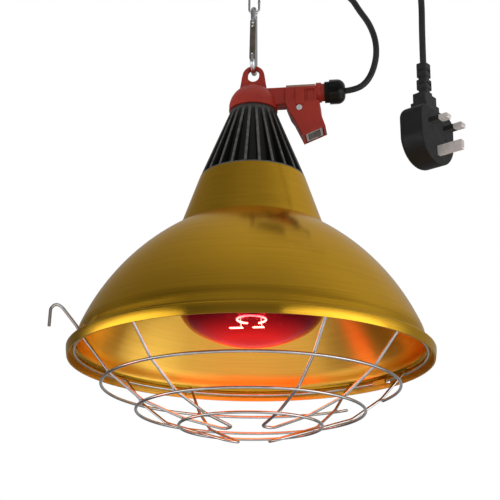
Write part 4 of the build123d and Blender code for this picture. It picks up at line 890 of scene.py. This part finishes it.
# %% Line of the filament
LOOP_R, LOOP_Z = 12.0, 37.0
LOOP_GAP = 4.5
TAIL_Y, TAIL_Z = -3.0, 29.5
TAILS = ((-18.0, -6.5, -8.0), (1.5, 11.0, 9.0))
COIL_R = 0.6
COIL_STEP = 0.8
COIL_WIRE = 0.22
COIL_POINTS = 10
WIRE_SIDES = 6
HANGER_POINTS = 5


def coiled(count, line):
    """Point = line + radius (cos t first + sin t second): a helix about a line with two normals."""
    share = np.linspace(0, 1, count * COIL_POINTS + 1)[:, None]
    t = 2 * np.pi * count * share
    middle, first, second, along = line(share)
    path = middle + COIL_R * (np.cos(t) * first + np.sin(t) * second)
    return tube(place(*path.T), COIL_WIRE * MM, along, WIRE_SIDES)


def on_loop(share):
    """Open circle in a level plane: the first normal points outwards, the second one up."""
    gap = np.arcsin(LOOP_GAP / LOOP_R)
    a = np.pi / 2 + gap + share * (2 * np.pi - 2 * gap)
    outward = np.concatenate([np.cos(a), np.sin(a), 0 * a], axis=1)
    up = np.array([[0.0, 0.0, 1.0]])
    return LOOP_R * outward + LOOP_Z * up, outward, up, np.cross(up, outward)


def on_tail(start, end):
    """Straight line along x: the normals are y and z."""
    x, y, z = np.eye(3)[:, None, :]
    return lambda share: ((start + share * (end - start)) * x + TAIL_Y * y + TAIL_Z * z, y, z, x + 0 * share)


ring_turns = round(2 * np.pi * LOOP_R / COIL_STEP)
print("filament of", ring_turns, "turns in its ring")

# %% Glowing filament
BARE_GLOW = 8.0
GLASS_GLOW = 60.0
coils = [coiled(ring_turns, on_loop)]
for start, end, hang in TAILS:
    coils.append(coiled(round((end - start) / COIL_STEP), on_tail(start, end)))
    loop_y = -math.sqrt(LOOP_R ** 2 - hang ** 2)
    hanger = np.linspace((hang, TAIL_Y, TAIL_Z), (hang, loop_y, LOOP_Z), HANGER_POINTS)
    coils.append(tube(place(*hanger.T), COIL_WIRE * MM, np.array([1.0, 0.0, 0.0]), WIRE_SIDES))
glow, tree, shader = finish("glowing_tungsten", Roughness=0.5)
hot = colour_between(tree, effect(tree, clouds, Scale=220.0), (0.0, (1.0, 0.82, 0.66)),
                     (1.0, (1.0, 0.92, 0.80)))
through = add(tree, "ShaderNodeLightPath").outputs["Is Transmission Ray"]
feed(tree, shader, Base_Color=hot, Emission_Color=hot,
     Emission_Strength=range_between(tree, through, BARE_GLOW, GLASS_GLOW))
surface("coiled_filament", coils, "bulb", glow, ["bulb_filament"])


# %% [markdown]
# ## Screw threads
# The bulb's cap and the holder's shell are thin sheet with a rounded thread rolled into it. A screw
# modifier would need its ends closed by hand. On a grid of height and angle, the groove is a cosine of
# both, so the radius of each point follows from one formula and fades to plain sheet at the ends.

# %% Screw threads
PITCH = 3.62
THREAD_FADE = 1.5
THREAD_ROWS, THREAD_COLUMNS = 64, 72
LEAD_IN, LEAD_OUT = 0.2, 0.3
COLLAR_R, COLLAR_TOP = 17.4, 168.0
CAP_R, CAP_GROOVE = 13.1, 0.95
CAP_LOW, CAP_HIGH = 171.0, 188.5
CAP_END_R, CAP_END = 10.5, 190.5
SHELL_IN, SHELL_OUT, SHELL_GROOVE = 13.85, 14.15, 0.25
SHELL_LOW, SHELL_HIGH = 173.0, 196.0


def thread(radius, depth, low, high):
    """Radius = crest less a depth times half (1 - cos turns): the groove climbs one pitch in one turn."""
    z = np.linspace(low, high, THREAD_ROWS)[:, None]
    a = np.linspace(0, 2 * np.pi, THREAD_COLUMNS + 1)[None, :]
    wave = (1 - np.cos(2 * np.pi * (z - low) / PITCH - a)) / 2
    fade = np.clip(np.minimum(z - low, high - z) / THREAD_FADE, 0, 1)
    r = radius - depth * wave * fade
    return place(r * np.cos(a), r * np.sin(a), z)


cap_metal = plated("cap_metal", (0.55, 0.54, 0.50), (0.70, 0.69, 0.65), (0.20, 0.34))
cap_foot = [(0, BULB_TOP), (COLLAR_R, BULB_TOP), (COLLAR_R, COLLAR_TOP), (CAP_R, CAP_LOW)]
cap_end = [(CAP_R, CAP_HIGH), (CAP_END_R, CAP_END), (0, CAP_END)]
cap_rows = np.concatenate([lathe(cap_foot, THREAD_COLUMNS),
                           thread(CAP_R, CAP_GROOVE, CAP_LOW + LEAD_IN, CAP_HIGH - LEAD_OUT),
                           lathe(cap_end, THREAD_COLUMNS)])
surface("bulb_screw_cap", [cap_rows], "bulb", cap_metal, ["bulb_shell"])
shell_rows = np.concatenate([thread(SHELL_OUT, SHELL_GROOVE, SHELL_LOW, SHELL_HIGH),
                             thread(SHELL_IN, SHELL_GROOVE, SHELL_LOW, SHELL_HIGH)[::-1]])
shell_rows = np.concatenate([shell_rows, shell_rows[:1]])
surface("holder_screw_shell", [shell_rows], "lamp", brass, ["screw_shell"])


# %% [markdown]
# ## Studio
# A pale floor lies far below. To the eye the world is white. Polished metal needs something to mirror,
# so for reflections the same world darkens overhead and behind the camera, as a studio does, and as a
# light it is even and soft. Two soft lamps draw the bright stretches on the lip, a low one and a narrow
# red one show inside the shade, and a large one lights from above. The floor and the plug beside the
# lamp are kept out of the mirror.

# %% World
# Each step of the mirrored world runs along one axis: where it starts and ends, the level before and after.
OVERHEAD = (0.22, 0.62, 0.40, 0.58)
BELOW = (-0.35, -0.12, 1.0, 0.0)
FRONT, LOW_FRONT = (-0.85, 0.25, 0.37, 1.0), (-0.05, 0.5, 2.0, 0.5)
LEFT, LOW_LEFT = (-0.85, 0.05, 0.36, 1.0), (-0.82, -0.52, 0.12, 1.0)
BROW_FOOT, BROW_TOP, BROW_FRONT = (0.16, 0.25, 0.0, 0.2), (0.34, 0.52, 1.0, 0.0), (-0.9, -0.3, 1.0, 0.0)
SIDES, SIDE_BAND, SIDE_FRONT = (0.50, 0.97, 0.0, 1.0), (0.06, 0.27, 1.0, 0.0), (0.05, 0.55, 1.0, 0.0)
SOFT_LEVEL = 0.55
scene = bpy.context.scene
scene.view_settings.view_transform = "Standard"
world = bpy.data.worlds.new("studio")
scene.world = world
world.use_nodes = True
tree = world.node_tree
tree.nodes.clear()


def eased(value, step):
    """Smooth step of the world's level over a value."""
    start, end, before, after = step
    return range_between(world.node_tree, value, before, after, start, end, "SMOOTHSTEP")


heading = add(tree, "ShaderNodeTexCoord").outputs["Generated"]
x, y, z = add(tree, "ShaderNodeSeparateXYZ", {0: heading}).outputs
below = eased(z, BELOW)
depthwise = blended(tree, below, eased(y, FRONT), eased(y, LOW_FRONT))
sideways = blended(tree, below, eased(x, LEFT), eased(x, LOW_LEFT))
even = maths(tree, "MULTIPLY", eased(z, OVERHEAD), maths(tree, "MULTIPLY", depthwise, sideways))
brow = maths(tree, "MULTIPLY", eased(z, BROW_FOOT), eased(z, BROW_TOP))
even = maths(tree, "MULTIPLY_ADD", brow, eased(y, BROW_FRONT), even)
beside = maths(tree, "MULTIPLY", eased(maths(tree, "ABSOLUTE", x), SIDES), eased(y, SIDE_FRONT))
mirrored = maths(tree, "MULTIPLY_ADD", beside, eased(maths(tree, "ABSOLUTE", z), SIDE_BAND), even)
ray = add(tree, "ShaderNodeLightPath").outputs
white = maths(tree, "MAXIMUM", ray["Is Camera Ray"], ray["Is Transmission Ray"])
shown = maths(tree, "MAXIMUM", maths(tree, "MULTIPLY", mirrored, ray["Is Glossy Ray"]), white)
looked_at = maths(tree, "MAXIMUM", white, ray["Is Glossy Ray"])
sky = add(tree, "ShaderNodeBackground", {"Color": (1.0, 1.0, 1.0, 1.0),
                                         "Strength": blended(tree, looked_at, SOFT_LEVEL, shown)})
add(tree, "ShaderNodeOutputWorld", {"Surface": sky.outputs[0]})
print("world", world.name, "of", len(tree.nodes), "nodes")

# %% Floor
FLOOR_Z = -1.3
FLOOR_HALF = 40.0
FLOOR_LIFT = 0.4
floor_paint, tree, shader = finish("floor_paint", Roughness=0.9)
pale = colour_between(tree, effect(tree, clouds, Scale=3.0), (0.0, (0.80, 0.80, 0.79)),
                      (1.0, (0.84, 0.84, 0.83)))
seen = add(tree, "ShaderNodeLightPath").outputs["Is Camera Ray"]
feed(tree, shader, Base_Color=pale, Emission_Color=pale,
     Emission_Strength=range_between(tree, seen, 0.0, FLOOR_LIFT))
floor_mesh = bpy.data.meshes.new("floor")
corners = [(FLOOR_HALF * x, FLOOR_HALF * y, FLOOR_Z) for x, y in ((-1, -1), (1, -1), (1, 1), (-1, 1))]
floor_mesh.from_pydata(corners, [], [(0, 1, 2, 3)])
floor_mesh.materials.append(floor_paint)
floor = bpy.data.objects.new("floor", floor_mesh)
scene.collection.objects.link(floor)
floor.visible_glossy = False
for name in plug_nodes:
    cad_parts[name].visible_glossy = False
print("floor at", FLOOR_Z, "m")

# %% Lamps
LAMP_TARGET = Vector((0.03, 0.0, LIP + 0.1))


def lamp(name, at, size, watts, mirrored=True, colour=(1.0, 1.0, 1.0)):
    """Area lamp of a width and height at a place, facing the object's middle, and hidden from the camera."""
    light = bpy.data.lights.new(name, "AREA")
    light.shape = "ELLIPSE"
    light.size, light.size_y = size
    light.energy = watts
    light.color = colour
    holder = bpy.data.objects.new(name, light)
    scene.collection.objects.link(holder)
    holder.location = at
    holder.rotation_euler = (Vector(at) - LAMP_TARGET).to_track_quat("Z", "Y").to_euler()
    holder.visible_camera = False
    holder.visible_glossy = mirrored
    print(name, "at", at, watts, "W")


lamp("left_softbox", (-1.31, -0.60, LIP - 0.09), (2.1, 0.5), 4.2)
lamp("right_softbox", (1.22, -0.76, LIP - 0.09), (1.9, 0.5), 4.0)
lamp("low_softbox", (1.08, 0.10, LIP - 0.46), (1.3, 0.35), 1.5)
lamp("warm_panel", (-1.05, 0.03, LIP - 0.44), (0.24, 0.7), 0.9, colour=(1.0, 0.10, 0.005))
lamp("top_softbox", (0.1, 0.2, LIP + 2.2), (2.5, 2.5), 14.0, mirrored=False)
